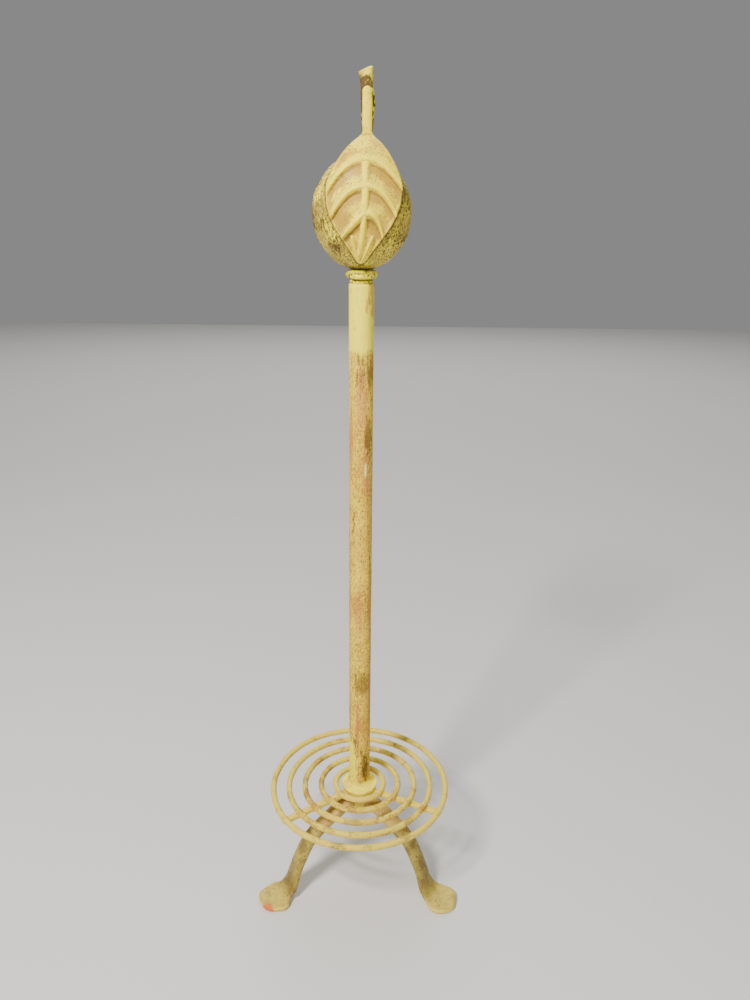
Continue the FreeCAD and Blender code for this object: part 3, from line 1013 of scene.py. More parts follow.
@dataclass
class WireTray:
    """The five wire rings, the three spokes under them and the welds where they cross."""

    rings: tuple[Ring, ...] = (
        Ring("ring_outer", 0.30, 0.42, 0.45),
        Ring("ring_second", 0.38, 0.52, 0.50),
        Ring("ring_third", 0.38, 0.72, 0.55),
        Ring("ring_fourth", 0.36, 0.62, 0.55),
        Ring("ring_inner", 0.30, 0.42, 0.45),
    )
    spokes: tuple[str, ...] = ("spoke_front_left", "spoke_front_right", "spoke_back")
    ring_points: int = 220
    wire_points: int = 16
    waviness: float = 0.9 * MM
    waves_per_metre: float = 24.0
    dents: float = 0.22 * MM
    dents_per_metre: float = 260.0
    weld_radius: float = 1.15 * MM
    weld_inset: float = 0.85
    weld_drop: float = 0.8
    weld_seed: int = 7
    weld_lumps: float = 0.5 * MM
    weld_lumps_per_metre: float = 600.0
    spoke_section_points: int = 20
    spoke_squareness: float = 5.0
    spoke_trim: float = 2.5 * MM
    spoke_steps: int = 90
    spoke_unevenness: float = 0.25 * MM

    def make_ring(self, ring: Ring, seed: int, finish: bpy.types.Material) -> bpy.types.Object:
        """Makes one ring from slightly uneven drawn wire, bent by hand.

        Args:
            ring: The ring.
            seed: Its seed.
            finish: Its paint.

        Returns:
            The ring.
        """
        radius, wire, height = ring.sizes()
        sizes = {
            "Ring Radius": radius - self.waviness * 0.1,
            "Wire Radius": wire,
            "Height": height,
            "Waviness": self.waviness,
            "Dents": self.dents,
            "Seed": seed,
        }
        recipe = Recipe(f"{ring.node}_recipe", sizes)
        circle = recipe.circle(recipe.size("Ring Radius"), self.ring_points)
        waves = recipe.bumps(self.waves_per_metre, recipe.size("Seed"))
        lift = recipe.vector(0.0, 0.0, recipe.size("Height"))
        bent = recipe.moved(recipe.moved(circle, recipe.scaled(waves, recipe.size("Waviness"))), lift)
        section = recipe.circle(recipe.size("Wire Radius"), self.wire_points)
        tube = recipe.field("GeometryNodeCurveToMesh", None, {"Curve": bent, "Profile Curve": section})
        dents = recipe.bumps(self.dents_per_metre, recipe.size("Seed"))
        dented = recipe.moved(tube, recipe.scaled(dents, recipe.size("Dents")))
        return recipe.made(f"{ring.node}_wire", dented, finish)

    def make_welds(self, finish: bpy.types.Material) -> bpy.types.Object:
        """Makes the blobs of weld where rings cross spokes.

        Args:
            finish: Their paint.

        Returns:
            The blobs, as one piece.
        """
        places = []
        for spoke in self.spokes:
            way = arm_of(spoke).way
            for ring in self.rings:
                radius, wire, height = ring.sizes()
                sides = (-1,) if ring is self.rings[0] else (-1, 1)
                for side in sides:
                    spot = way * (radius + side * wire * self.weld_inset)
                    places.append((spot.x, spot.y, height - wire * self.weld_drop))
        base = bpy.data.meshes.new("weld_places")
        base.from_pydata(places, [], [])
        recipe = Recipe("weld_recipe", {"Weld Radius": self.weld_radius, "Seed": self.weld_seed})
        ball = {"Radius": recipe.size("Weld Radius"), "Subdivisions": 3}
        values = {
            "Points": recipe.inlet.outputs["Geometry"],
            "Instance": recipe.field("GeometryNodeMeshIcoSphere", None, ball),
            "Rotation": recipe.any_between((0.0, 0.0, 0.0), (6.28, 6.28, 6.28)),
            "Scale": recipe.any_between((0.7, 0.7, 0.5), (1.25, 1.25, 0.9)),
        }
        spread = recipe.field("GeometryNodeInstanceOnPoints", None, values)
        real = recipe.field("GeometryNodeRealizeInstances", None, {"Geometry": spread})
        lumps = recipe.bumps(self.weld_lumps_per_metre, recipe.size("Seed"))
        lumpy = recipe.moved(real, recipe.scaled(lumps, self.weld_lumps))
        return recipe.made("ring_welds", lumpy, finish, base)

    def make_spoke(self, spoke: str, seed: float) -> bpy.types.Object:
        """Makes one flat bar with soft, slightly hammered edges.

        Args:
            spoke: The node that it stands for.
            seed: The seed of its unevenness.

        Returns:
            The bar.
        """
        arm = arm_of(spoke)
        low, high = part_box(spoke)
        section = rounded_section(
            arm.width, high.z - low.z, self.spoke_squareness, self.spoke_section_points
        )
        length = arm.reach - self.spoke_trim - arm.start
        loops = []
        for step in range(self.spoke_steps + 1):
            share = step / self.spoke_steps
            shrink = 0.75 + 0.25 * math.sqrt(min(1.0, (1 - share) * self.spoke_steps / 2))
            middle = arm.way * (arm.start + length * share)
            middle.z = (low.z + high.z) / 2
            loop = []
            for across, up in section:
                point = middle + arm.side * (across * shrink) + Vector((0, 0, up * shrink))
                loop.append(point + arm.side * (wobble(point, 5 * MM, seed) * self.spoke_unevenness))
            loops.append(loop)
        return lofted(f"{spoke}_bar", loops)

    def build(self) -> None:
        """Makes and paints every piece of the tray."""
        for number, ring in enumerate(self.rings):
            paint = AgedPaint(
                f"{ring.node}_paint",
                clean=Coat.STRAW.value,
                dull=Coat.KHAKI.value,
                dulling=ring.dulling,
                rubbing=ring.rubbing,
                speckle=ring.speckle,
                cloud_size=9 * MM,
                speck_size=0.8 * MM,
                seed=0.1 * number,
            ).material()
            dress(self.make_ring(ring, 3 + number, paint), paint, "stand", [ring.node])
        paint = AgedPaint("weld_paint", dulling=0.75, rubbing=0.5, speckle=0.7, seed=0.9).material()
        dress(self.make_welds(paint), paint, "stand")
        paint = AgedPaint("spoke_paint", clean=Coat.STRAW.value, rubbing=0.45, seed=1.3).material()
        for number, spoke in enumerate(self.spokes):
            dress(self.make_spoke(spoke, 4.0 + number), paint, "stand", [spoke])


@dataclass
class Tripod:
    """Three legs of bent bar, each beaten out into a flat foot."""

    legs: tuple[str, ...] = ("leg_front_left", "leg_front_right", "leg_back")
    rusty_leg: str = "leg_front_left"
    rust_radius: float = 6.0 * MM
    rust_from_tip: float = 2.6 * MM
    rust_aside: float = 6.2 * MM
    bar_width: float = 10.0 * MM
    bar_thickness: float = 6.0 * MM
    foot_thickness: float = 3.5 * MM
    foot_radius: float = 11.2 * MM
    run_in: float = 0.3 * MM
    thigh: Stops = (
        (18.0 * MM, -5.8 * MM),
        (28.0 * MM, -12.2 * MM),
        (35.8 * MM, -18.8 * MM),
        (41.0 * MM, -27.5 * MM),
    )
    shin: Stops = ((45.3 * MM, 18.5 * MM), (48.5 * MM, 9.5 * MM))
    section_points: int = 40
    steps: int = 14
    hammering: float = 0.28 * MM

    def centre_line(self, start: float, hip: float, reach: float) -> list[tuple[float, float]]:
        """The leg's centre line.

        Args:
            start: The distance from the axis at which it starts.
            hip: The height at which it starts.
            reach: The distance of the foot's tip from the axis.

        Returns:
            Points of distance from the axis and height.
        """
        flat = self.foot_thickness / 2
        points = [(start, hip)]
        points += [(out, hip + drop) for out, drop in self.thigh]
        points += self.shin
        points += [(52.6 * MM, flat + 1.7 * MM), (58.5 * MM, flat), (reach - 4.0 * MM, flat), (reach, flat)]
        return smooth_curve(points, self.steps)

    def section_at(self, out: float, reach: float) -> tuple[float, float, float]:
        """The bar's section at a distance from the axis.

        Args:
            out: The distance.
            reach: The distance of the foot's tip.

        Returns:
            Its width, its thickness and how square it is.
        """
        radius = self.foot_radius
        centre = reach - radius
        widths = (
            (0.0 * MM, 9.8 * MM),
            (30.0 * MM, self.bar_width),
            (43.0 * MM, 10.2 * MM),
            (47.0 * MM, 11.2 * MM),
            (50.0 * MM, 13.6 * MM),
            (53.0 * MM, 17.0 * MM),
            (centre - 3.0 * MM, 2 * radius * 0.955),
            (centre, 2 * radius),
        )
        thicknesses = (
            (0.0 * MM, self.bar_thickness),
            (40.0 * MM, self.bar_thickness),
            (50.0 * MM, 4.8 * MM),
            (centre - 3.0 * MM, self.foot_thickness),
            (centre, self.foot_thickness),
        )
        width, thickness = read_curve(widths, out), read_curve(thicknesses, out)
        if out > centre:
            width = 2 * math.sqrt(max(radius**2 - (out - centre) ** 2, (0.6 * MM) ** 2))
            lip = max(0.0, (out - reach + 1.1 * MM) / (1.1 * MM))
            thickness *= math.sqrt(max(0.08, 1 - lip * lip * 0.9))
        return width, thickness, 2.9 + 1.3 * ramp(out, 47.0 * MM, 57.0 * MM)

    def make_leg(self, leg: str, seed: float) -> bpy.types.Object:
        """Makes one leg.

        Args:
            leg: The node that it stands for.
            seed: The seed of its hammer marks.

        Returns:
            The leg, with its marks.
        """
        arm = arm_of(leg)
        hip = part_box(leg)[1].z - self.bar_thickness * 0.62
        line = self.centre_line(arm.start - self.run_in, hip, arm.reach)
        loops = []
        for index, (out, height) in enumerate(line):
            before = Vector(line[max(index - 1, 0)])
            after = Vector(line[min(index + 1, len(line) - 1)])
            run = (after - before).normalized()
            width, thickness, power = self.section_at(out, arm.reach)
            loop = []
            for across, up in rounded_section(width, thickness, power, self.section_points):
                place = arm.way * (out - run.y * up) + arm.side * across
                place.z = height + run.x * up
                loop.append(self.hammered(place, arm, seed))
            loops.append(loop)
        piece = lofted(f"{leg}_bar", loops)
        self.mark_leg(piece, arm, 1.7 if leg == self.rusty_leg else 0.3, seed)
        return piece

    def mark_leg(self, piece: bpy.types.Object, arm: Arm, rust: float, seed: float) -> None:
        """Marks where a leg is rusty, bright, dull and dark: the bright rim of the foot is a painted
        highlight, and the dark marks are a dirt stripe and painted shade in the bend above the foot.

        Args:
            piece: The leg.
            arm: How it lies.
            rust: How strong the rust spot on its foot is.
            seed: The seed of its dirt stripe.
        """
        outer = arm.side * (1.0 if arm.side.y < 0 else -1.0)
        spot = arm.way * (arm.reach - self.rust_from_tip) + outer * self.rust_aside
        centre = arm.way * (arm.reach - self.foot_radius)
        crease = arm.reach - 2 * self.foot_radius + 2 * MM
        bare, ridge, hollow, dirt = [], [], [], []
        for vertex in piece.data.vertices:
            place, height = vertex.co, vertex.co.z
            stripe = hump(place.dot(arm.side), 2.2 * MM) * (height > 9 * MM)
            stripe *= max(0.0, 0.35 + wobble(place, 8 * MM, seed + 7))
            # Painted shade in the bend above the foot.
            heel = hump(place.dot(arm.way) - crease, 3 * MM) * (height > 3 * MM)
            # Painted highlight on the foot's outer rim.
            rim = ramp(height, 3.2 * MM, 0.0)
            rim *= 1.4 if (place - centre).length > self.foot_radius * 0.84 else 0.0
            bare.append(rust * ramp((place - spot).length, self.rust_radius, 0.0))
            # Lighter on the rim, a painted highlight, and lighter towards the floor.
            ridge.append(rim * 0.8 + 0.85 * ramp(height, 10 * MM, 0.0))
            hollow.append(max(0.0, (height - 38 * MM) / (10 * MM)))
            dirt.append(0.45 * heel + 0.6 * stripe)
        give_marks(piece, bare=bare, ridge=ridge, hollow=hollow, dirt=dirt)

    def hammered(self, place: Vector, arm: Arm, seed: float) -> Vector:
        """Moves a point by the hammer's marks, and keeps the foot flat on the floor.

        Args:
            place: The point.
            arm: How the leg lies.
            seed: The seed of the marks.

        Returns:
            The moved point.
        """
        centre = arm.reach - self.foot_radius
        spot = place - arm.way * centre
        spot.z = 0.0
        moved = place.copy()
        if place.z < 6 * MM and place.dot(arm.way) > centre - 12 * MM:
            angle = math.atan2(spot.dot(arm.side), spot.dot(arm.way))
            uneven = 0.03 * math.cos(3 * angle + seed) + 0.03 * math.cos(5 * angle - 2 * seed) - 0.06
            moved += spot * (uneven * min(1.0, spot.length / self.foot_radius) ** 3)
        dent = wobble(place, 7 * MM, seed) * 0.7 + wobble(place, 3 * MM, seed + 5) * 0.3
        moved += (arm.side + Vector((0, 0, 1))) * (dent * self.hammering)
        moved.z = max(moved.z, 0.0)
        return moved

    def build(self) -> None:
        """Makes and paints the legs."""
        for number, leg in enumerate(self.legs):
            paint = MarkedPaint(
                f"{leg}_paint",
                clean=(0.41, 0.31, 0.055),
                dull=(0.25, 0.17, 0.04),
                rubbing=0.5,
                speckle=0.65,
                seed=2.0 + 0.37 * number,
                ridge=(0.80, 0.62, 0.10),
                hollow=Coat.BLUSH.value,
                hollow_share=0.3,
                bare=Coat.RUST.value,
            ).material()
            dress(self.make_leg(leg, 1.5 + number), paint, "stand", [leg])


@dataclass
class Hub:
    """The flange at the post's foot, and what holds it all together from below."""

    segments: int = 96
    sleeve: float = 2.0 * MM
    disc: float = 3.0 * MM
    fillet: float = 3.5 * MM
    rim: float = 0.9 * MM

    def make_flange(self) -> bpy.types.Object:
        """Makes the flange with its fillet up to the post, under thick paint.

        Returns:
            The flange.
        """
        low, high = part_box("hub_flange")
        post, flange = half_span("post_tube"), half_span("hub_flange")
        top = high.z - self.fillet
        bottom = top - self.disc
        outline = [(post, low.z), (post + self.sleeve, low.z), (post + self.sleeve, bottom)]
        outline.append((flange - 0.4 * MM, bottom))
        for step in range(7):
            angle = math.pi / 2 * step / 6
            outward, up = self.rim * math.cos(angle), self.rim * math.sin(angle)
            outline.append((flange - self.rim + outward, top - self.rim + up))
        for step in range(9):
            angle = math.pi / 2 * step / 8 * 0.97
            inward, up = self.fillet * math.sin(angle), self.fillet * (1 - math.cos(angle))
            outline.append((post + self.fillet - inward, top + up))
        outline.append((post, high.z))

        def shape(point: Vector) -> Vector:
            """Gives the paint's uneven thickness.

            Args:
                point: A point of the plain flange.

            Returns:
                The point under the paint.
            """
            if point.xy.length < post + 0.5 * MM:
                return point
            push = wobble(point, 4 * MM, 8.0) * 0.18 * MM
            lift = push * 0.6 if point.z > low.z + MM else 0.0
            return point + outwards(point) * push + Vector((0, 0, lift))

        return lathed("hub_flange_disc", outline, self.segments, shape)

    def build(self) -> None:
        """Makes and paints the hub."""
        paint = AgedPaint("hub_paint", rubbing=0.4, speckle=0.5, cloud_size=6 * MM, seed=3.1).material()
        dress(self.make_flange(), paint, "stand", ["hub_flange"])
        paint = AgedPaint(
            "leg_boss_paint", clean=Coat.STRAW.value, dull=Coat.UMBER.value, dulling=0.6, seed=3.9
        )
        dress_node("leg_boss", paint.material())
        steel = BareSteel("screw_steel").material()
        for node in ("base_screw", "base_washer"):
            dress_node(node, steel)


@dataclass
class Post:
    """The upright tube with its plug and its tapped insert."""

    segments: int = 96
    steps: int = 160
    paint_swell: float = 0.07 * MM
    paint_rubbed: float = 0.05 * MM

    def make_tube(self) -> bpy.types.Object:
        """Makes the tube, with a soft chamfer at its rim.

        Returns:
            The tube.
        """
        low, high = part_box("post_tube")
        bore, radius = half_span("post_top_insert"), half_span("post_tube")
        length = high.z - low.z - 0.9 * MM
        outline = [(bore, low.z)]
        outline += [(radius, low.z + length * step / self.steps) for step in range(self.steps)]
        chamfer = ((0.0, 0.85), (0.12, 0.45), (0.45, 0.12), (0.8, 0.0))
        outline += [(radius - inwards * MM, high.z - down * MM) for inwards, down in chamfer]
        outline.append((bore, high.z))

        def shape(point: Vector) -> Vector:
            """Gives the worn paint's uneven thickness.

            Args:
                point: A point of the plain tube.

            Returns:
                The point under the paint.
            """
            if point.xy.length < radius - 0.2 * MM:
                return point
            long_place = Vector((point.x, point.y, point.z * 0.25))
            push = wobble(long_place, 5 * MM, 12.0) * self.paint_swell - self.paint_rubbed
            return point + outwards(point) * push

        return lathed("post_tube_skin", outline, self.segments, shape)

    def build(self) -> None:
        """Makes and paints the post."""
        paint = PostPaint(
            "post_paint",
            dulling=0.75,
            rubbing=0.7,
            speckle=0.92,
            speck_size=0.80 * MM,
            along=(1.0, 1.0, 0.65),
            seed=4.2,
            dented=0.16 * MM,
        ).material()
        dress(self.make_tube(), paint, "stand", ["post_tube"])
        steel = BareSteel("insert_steel").material()
        for node in ("post_top_insert", "post_bottom_plug"):
            dress_node(node, steel)


# ---------------------------------------------------------------------------------------------
# The finial
# ---------------------------------------------------------------------------------------------


@dataclass
class Neck:
    """The band, the wire collar and the threaded stud under the fruit."""

    pitch: float = 1.27 * MM
    thread_depth: float = 0.72 * MM
    collar_sections: int = 24
    collar_steps: int = 160
    collar_start: float = math.radians(-140)
    overlap: float = math.radians(68)
    collar_squareness: float = 2.2
    collar_unevenness: float = 0.15 * MM
    crest: float = 0.62
    band_edge: float = 0.35 * MM

    def make_band(self) -> bpy.types.Object:
        """Makes the band that seats on the post.

        Returns:
            The band.
        """
        low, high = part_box("neck_band")
        bore, radius, soft = half_span("finial_stud"), half_span("neck_band"), self.band_edge
        outline = [(bore, low.z), (radius - soft, low.z), (radius, low.z + soft)]
        outline += [(radius, high.z - soft), (radius - soft, high.z), (bore, high.z)]
        return lathed("neck_band_ring", outline, 72)

    def make_collar(self) -> bpy.types.Object:
        """Makes the collar: a little over one turn of soft wire, whose end lies over its start.

        Returns:
            The collar, with painted shade marked on its inner side and along its top and bottom edges.
        """
        low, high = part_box("neck_collar")
        full = high.z - low.z
        reach = half_span("neck_collar")
        sweep = 2 * math.pi + self.overlap
        lap = self.overlap / sweep
        heights = (
            (0.0, 0.60),
            (lap * 0.97, 0.62),
            (lap * 1.10, 0.96),
            (lap * 1.7, 0.98),
            (1 - lap * 1.9, 0.98),
            (1 - lap * 1.25, 0.62),
            (1 - lap * 0.9, 0.42),
            (1.0, 0.38),
        )
        middles = (
            (0.0, 0.33),
            (lap * 0.97, 0.34),
            (lap * 1.10, 0.49),
            (lap * 1.7, 0.50),
            (1 - lap * 1.9, 0.49),
            (1 - lap * 1.25, 0.60),
            (1 - lap * 0.9, 0.78),
            (1.0, 0.80),
        )
        loops = []
        for step in range(self.collar_steps + 1):
            share = step / self.collar_steps
            angle = self.collar_start + sweep * share
            away = Vector((math.cos(angle), math.sin(angle), 0))
            tall = read_curve(heights, share) * full
            deep = min(full * 0.96, tall * 1.25)
            from_end = min(share, 1 - share) * sweep * reach / (0.9 * MM)
            close = math.sqrt(max(0.04, 1 - max(0.0, 1 - from_end) ** 2))
            centre = away * (reach - deep / 2 - 0.1 * MM)
            centre.z = low.z + read_curve(middles, share) * full
            loop = []
            for across, up in rounded_section(
                deep * close, tall * close, self.collar_squareness, self.collar_sections
            ):
                point = centre + away * across + Vector((0, 0, -up))
                point += away * (wobble(point, 2.5 * MM, 21.0) * self.collar_unevenness)
                point.z = min(max(point.z, low.z), high.z)
                loop.append(point)
            loops.append(loop)
        piece = lofted("neck_collar_wire", loops)
        dirt = []
        for vertex in piece.data.vertices:
            # Painted shade: darker on the inner side, towards the post, and along the top and bottom edges,
            # where the collar meets the fruit and the band.
            inside = ramp(vertex.co.xy.length - reach, -0.8 * MM, -2.4 * MM)
            far = ramp(abs(vertex.co.z - (high.z + low.z) / 2) / (full / 2), 0.72, 1.0)
            dirt.append(min(1.0, inside + far * 0.5))
        give_marks(piece, dirt=dirt)
        return piece

    def make_stud(self, finish: bpy.types.Material) -> bpy.types.Object:
        """Makes the stud with a real helical thread.

        Args:
            finish: Its metal.

        Returns:
            The stud.
        """
        low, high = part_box("finial_stud")
        radius = half_span("finial_stud")
        length = high.z - low.z
        sizes = {
            "Stud Radius": radius - self.thread_depth,
            "Crest Radius": radius - self.thread_depth * self.crest,
            "Length": length,
            "Bottom": low.z,
            "Turns": (length - 2 * self.pitch) / self.pitch,
            "Ridge": self.thread_depth,
            "Pitch": self.pitch,
        }
        recipe = Recipe("thread_recipe", sizes)
        values = {
            "Resolution": 40,
            "Rotations": recipe.size("Turns"),
            "Start Radius": recipe.size("Crest Radius"),
            "End Radius": recipe.size("Crest Radius"),
            "Height": recipe.size("Length") - recipe.size("Pitch") * 2.0,
            "Reverse": False,
        }
        helix = recipe.field("GeometryNodeCurveSpiral", None, values)
        section = recipe.circle(recipe.size("Ridge") * self.crest, 4)
        values = {"Curve": helix, "Profile Curve": section, "Fill Caps": True}
        ridge = recipe.field("GeometryNodeCurveToMesh", None, values)
        up = recipe.size("Bottom") + recipe.size("Pitch")
        ridge = recipe.moved(ridge, recipe.vector(0.0, 0.0, up))
        values = {"Vertices": 40, "Radius": recipe.size("Stud Radius"), "Depth": recipe.size("Length")}
        core = recipe.field("GeometryNodeMeshCylinder", None, values, "Mesh")
        up = recipe.size("Bottom") + recipe.size("Length") * 0.5
        core = recipe.moved(core, recipe.vector(0.0, 0.0, up))
        join = recipe.node("GeometryNodeJoinGeometry")
        recipe.tree.links.new(core.socket, join.inputs[0])
        recipe.tree.links.new(ridge.socket, join.inputs[0])
        return recipe.made("finial_stud_thread", Field(recipe, join.outputs[0]), finish)

    def build(self) -> None:
        """Makes and finishes the neck."""
        paint = MarkedPaint("neck_paint", dulling=0.45, rubbing=0.25, speckle=0.8, seed=5.3).material()
        dress(self.make_band(), paint, "finial", ["neck_band"])
        dress(self.make_collar(), paint, "neck_ring", ["neck_collar"])
        steel = BareSteel("stud_steel").material()
        dress(self.make_stud(steel), steel, "finial", ["finial_stud"])
        # The boss under the fruit is painted dark: dirt, and painted shade in the gap under the fruit.
        paint = AgedPaint(
            "finial_boss_paint_and_shade", clean=Coat.KHAKI.value, dull=Coat.UMBER.value, dulling=0.8, seed=5.9
        )
        dress_node("finial_boss", paint.material())


@dataclass
class Fruit:
    """The hollow fruit: two pressed half shells, joined round its sides."""

    leaf: "Leaf"
    rows: int = 120
    columns: int = 160
    wall: float = 1.4 * MM
    lobes: int = 5
    lobe_depth: float = 0.35 * MM
    groove_depth: float = 0.8 * MM
    full_below: float = 0.6 * MM
    drop_below: float = 0.6 * MM
    pole: float = 0.001

    def surface(self, azimuth: float, polar: float, sizes: Sequence[float]) -> Vector:
        """A point on the fruit's skin.

        Args:
            azimuth: The angle round it in radians, from the front towards +X.
            polar: The angle down from the top in radians.
            sizes: Its radius, half height and middle height.

        Returns:
            The point.
        """
        radius, half, middle = sizes
        across, waist = radius * math.sin(polar), math.sin(polar) ** 2
        level = Vector((across * math.sin(azimuth), -across * math.cos(azimuth), 0.0))
        place = level + Vector((0.0, 0.0, middle + half * math.cos(polar)))
        away = (level + Vector((0.0, 0.0, (place.z - middle) * 0.8))).normalized()
        push = self.lobe_depth * math.cos(self.lobes * azimuth + 0.6) * waist
        push += wobble(place, 14 * MM, 31.0) * 0.7 * MM * waist
        push += wobble(place, 6 * MM, 32.0) * 0.30 * MM * waist
        wrinkle = Vector((place.x, place.y, place.z * 0.5 + place.x * 0.3))
        push += wobble(wrinkle, 1.6 * MM, 33.0) * 0.13 * MM
        push += wobble(place, 0.8 * MM, 34.0) * 0.07 * MM
        groove = azimuth + math.radians(50) - 0.55 * (polar - math.radians(92))
        fade = ramp(abs(polar - math.radians(68)), math.radians(34), 0.0)
        push -= self.groove_depth * hump(groove, 0.055) * fade
        front = max(0.0, math.cos(azimuth)) ** 6 * waist
        push = push * (1 - front) - 0.35 * MM * front
        down = math.degrees(polar)
        push += self.full_below * hump(down - 150, 13)
        place.z -= self.drop_below * ramp(down, 146, 166) ** 2
        return place + away * (push - 0.25 * MM)

    def make_half(self, name: str, node: str, first: float) -> bpy.types.Object:
        """Makes one half shell.

        Args:
            name: The piece's name.
            node: The node that it stands for.
            first: The azimuth of its left edge in radians.

        Returns:
            The half shell, with its marks.
        """
        (low, high), (other_low, other_high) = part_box(node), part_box("fruit_back_shell")
        top, bottom = max(high.z, other_high.z), min(low.z, other_low.z)
        radius = half_span(node)
        opening = math.asin(half_span("finial_boss") / radius)
        half = (top - bottom) / (1 + math.cos(opening))
        centre = Vector((0, 0, top - half))
        outer, inner = [], []
        for row in range(self.rows, -1, -1):
            polar = self.pole + (math.pi - opening - self.pole) * row / self.rows
            for column in range(self.columns + 1):
                azimuth = first + math.pi * column / self.columns
                point = self.surface(azimuth, polar, (radius, half, centre.z))
                if column in (0, self.columns):
                    point = centre + (point - centre) * 0.992
                outer.append(point)
                thin = (radius - self.wall, half - self.wall, centre.z)
                inner.append(self.surface(azimuth, polar, thin))
        piece = two_skins(name, outer, inner, self.columns + 1)
        hollow, ridge, bare, dirt = [], [], [], []
        for vertex in piece.data.vertices:
            place = vertex.co
            left = ramp(place.x, 0.0, -20 * MM)
            hollow.append(0.45 + 0.7 * wobble(place, 9 * MM, 41.0) + 0.3 * left)
            ridge.append(0.25 + 0.8 * wobble(place, 12 * MM, 42.0) - 0.3 * left)
            bare.append(0.24 + 0.3 * wobble(place, 8 * MM, 43.0) + 0.18 * left)
            dirt.append(self.dirt_at(place))
        give_marks(piece, hollow=hollow, ridge=ridge, bare=bare, dirt=dirt)
        return piece

    def dirt_at(self, place: Vector) -> float:
        """How dark a point is painted: painted shade along the leaf's edge, where the leaf stands off the
        fruit, and dirt with painted shade at the fruit's foot.

        Args:
            place: The point.

        Returns:
            A share, a little over 1 along the leaf's edge.
        """
        up = place.z - self.leaf.tip_z
        # The foot above the boss: dirt and painted shade.
        foot = 0.7 * min(1.0, 1.3 * max(0.0, 1 - (up + 3.4 * MM) / (3 * MM)))
        if place.y > 0 or up < -1.5 * MM or up > self.leaf.length:
            return foot
        up = max(up, 0.0)
        middle = self.leaf.lean * up / self.leaf.length
        out = abs(place.x - middle) - self.leaf.half_width_at(up)
        # Painted shade along the leaf's edge.
        return max(foot, 1.1 * ramp(out, 1.08 * MM, 0.18 * MM))

    def build(self) -> None:
        """Makes and paints both halves."""
        paint = MarkedPaint(
            "fruit_paint",
            rubbed=Coat.KHAKI.value,
            dulling=0.8,
            rubbing=0.7,
            speckle=1.0,
            speck_size=0.75 * MM,
            along=(1.0, 1.0, 0.6),
            seed=6.1,
            ridge=Coat.LEMON.value,
            hollow=Coat.KHAKI.value,
            hollow_share=0.55,
            ridge_share=0.35,
            dented=0.4 * MM,
        ).material()
        for side, first in (("front", -math.pi / 2), ("back", math.pi / 2)):
            node = f"fruit_{side}_shell"
            piece = self.make_half(f"fruit_{side}_skin", node, first)
            dress(piece, paint, "finial", [node])


@dataclass(frozen=True)
class Vein:
    """One side vein of the leaf: it leaves the midrib and bends down to the edge."""

    side: int
    start: float
    drop: float
    reach: float
    bend: float
    above: float = 2.6 * MM
    below: float = 1.6 * MM

    def height(self, up: float, across: float) -> float:
        """How high the vein stands at a point.

        Args:
            up: The point's height above the leaf's tip.
            across: Its distance from the midrib.

        Returns:
            A share of a vein's full height.
        """
        out = across * self.side
        off = up - self.start + self.drop * (max(out, 0.0) / self.reach) ** self.bend
        fade = ramp(out / self.reach, 1.25, 1.0) * ramp(out, -MM, 0.0)
        return hump(off, self.above if off > 0 else self.below) * fade


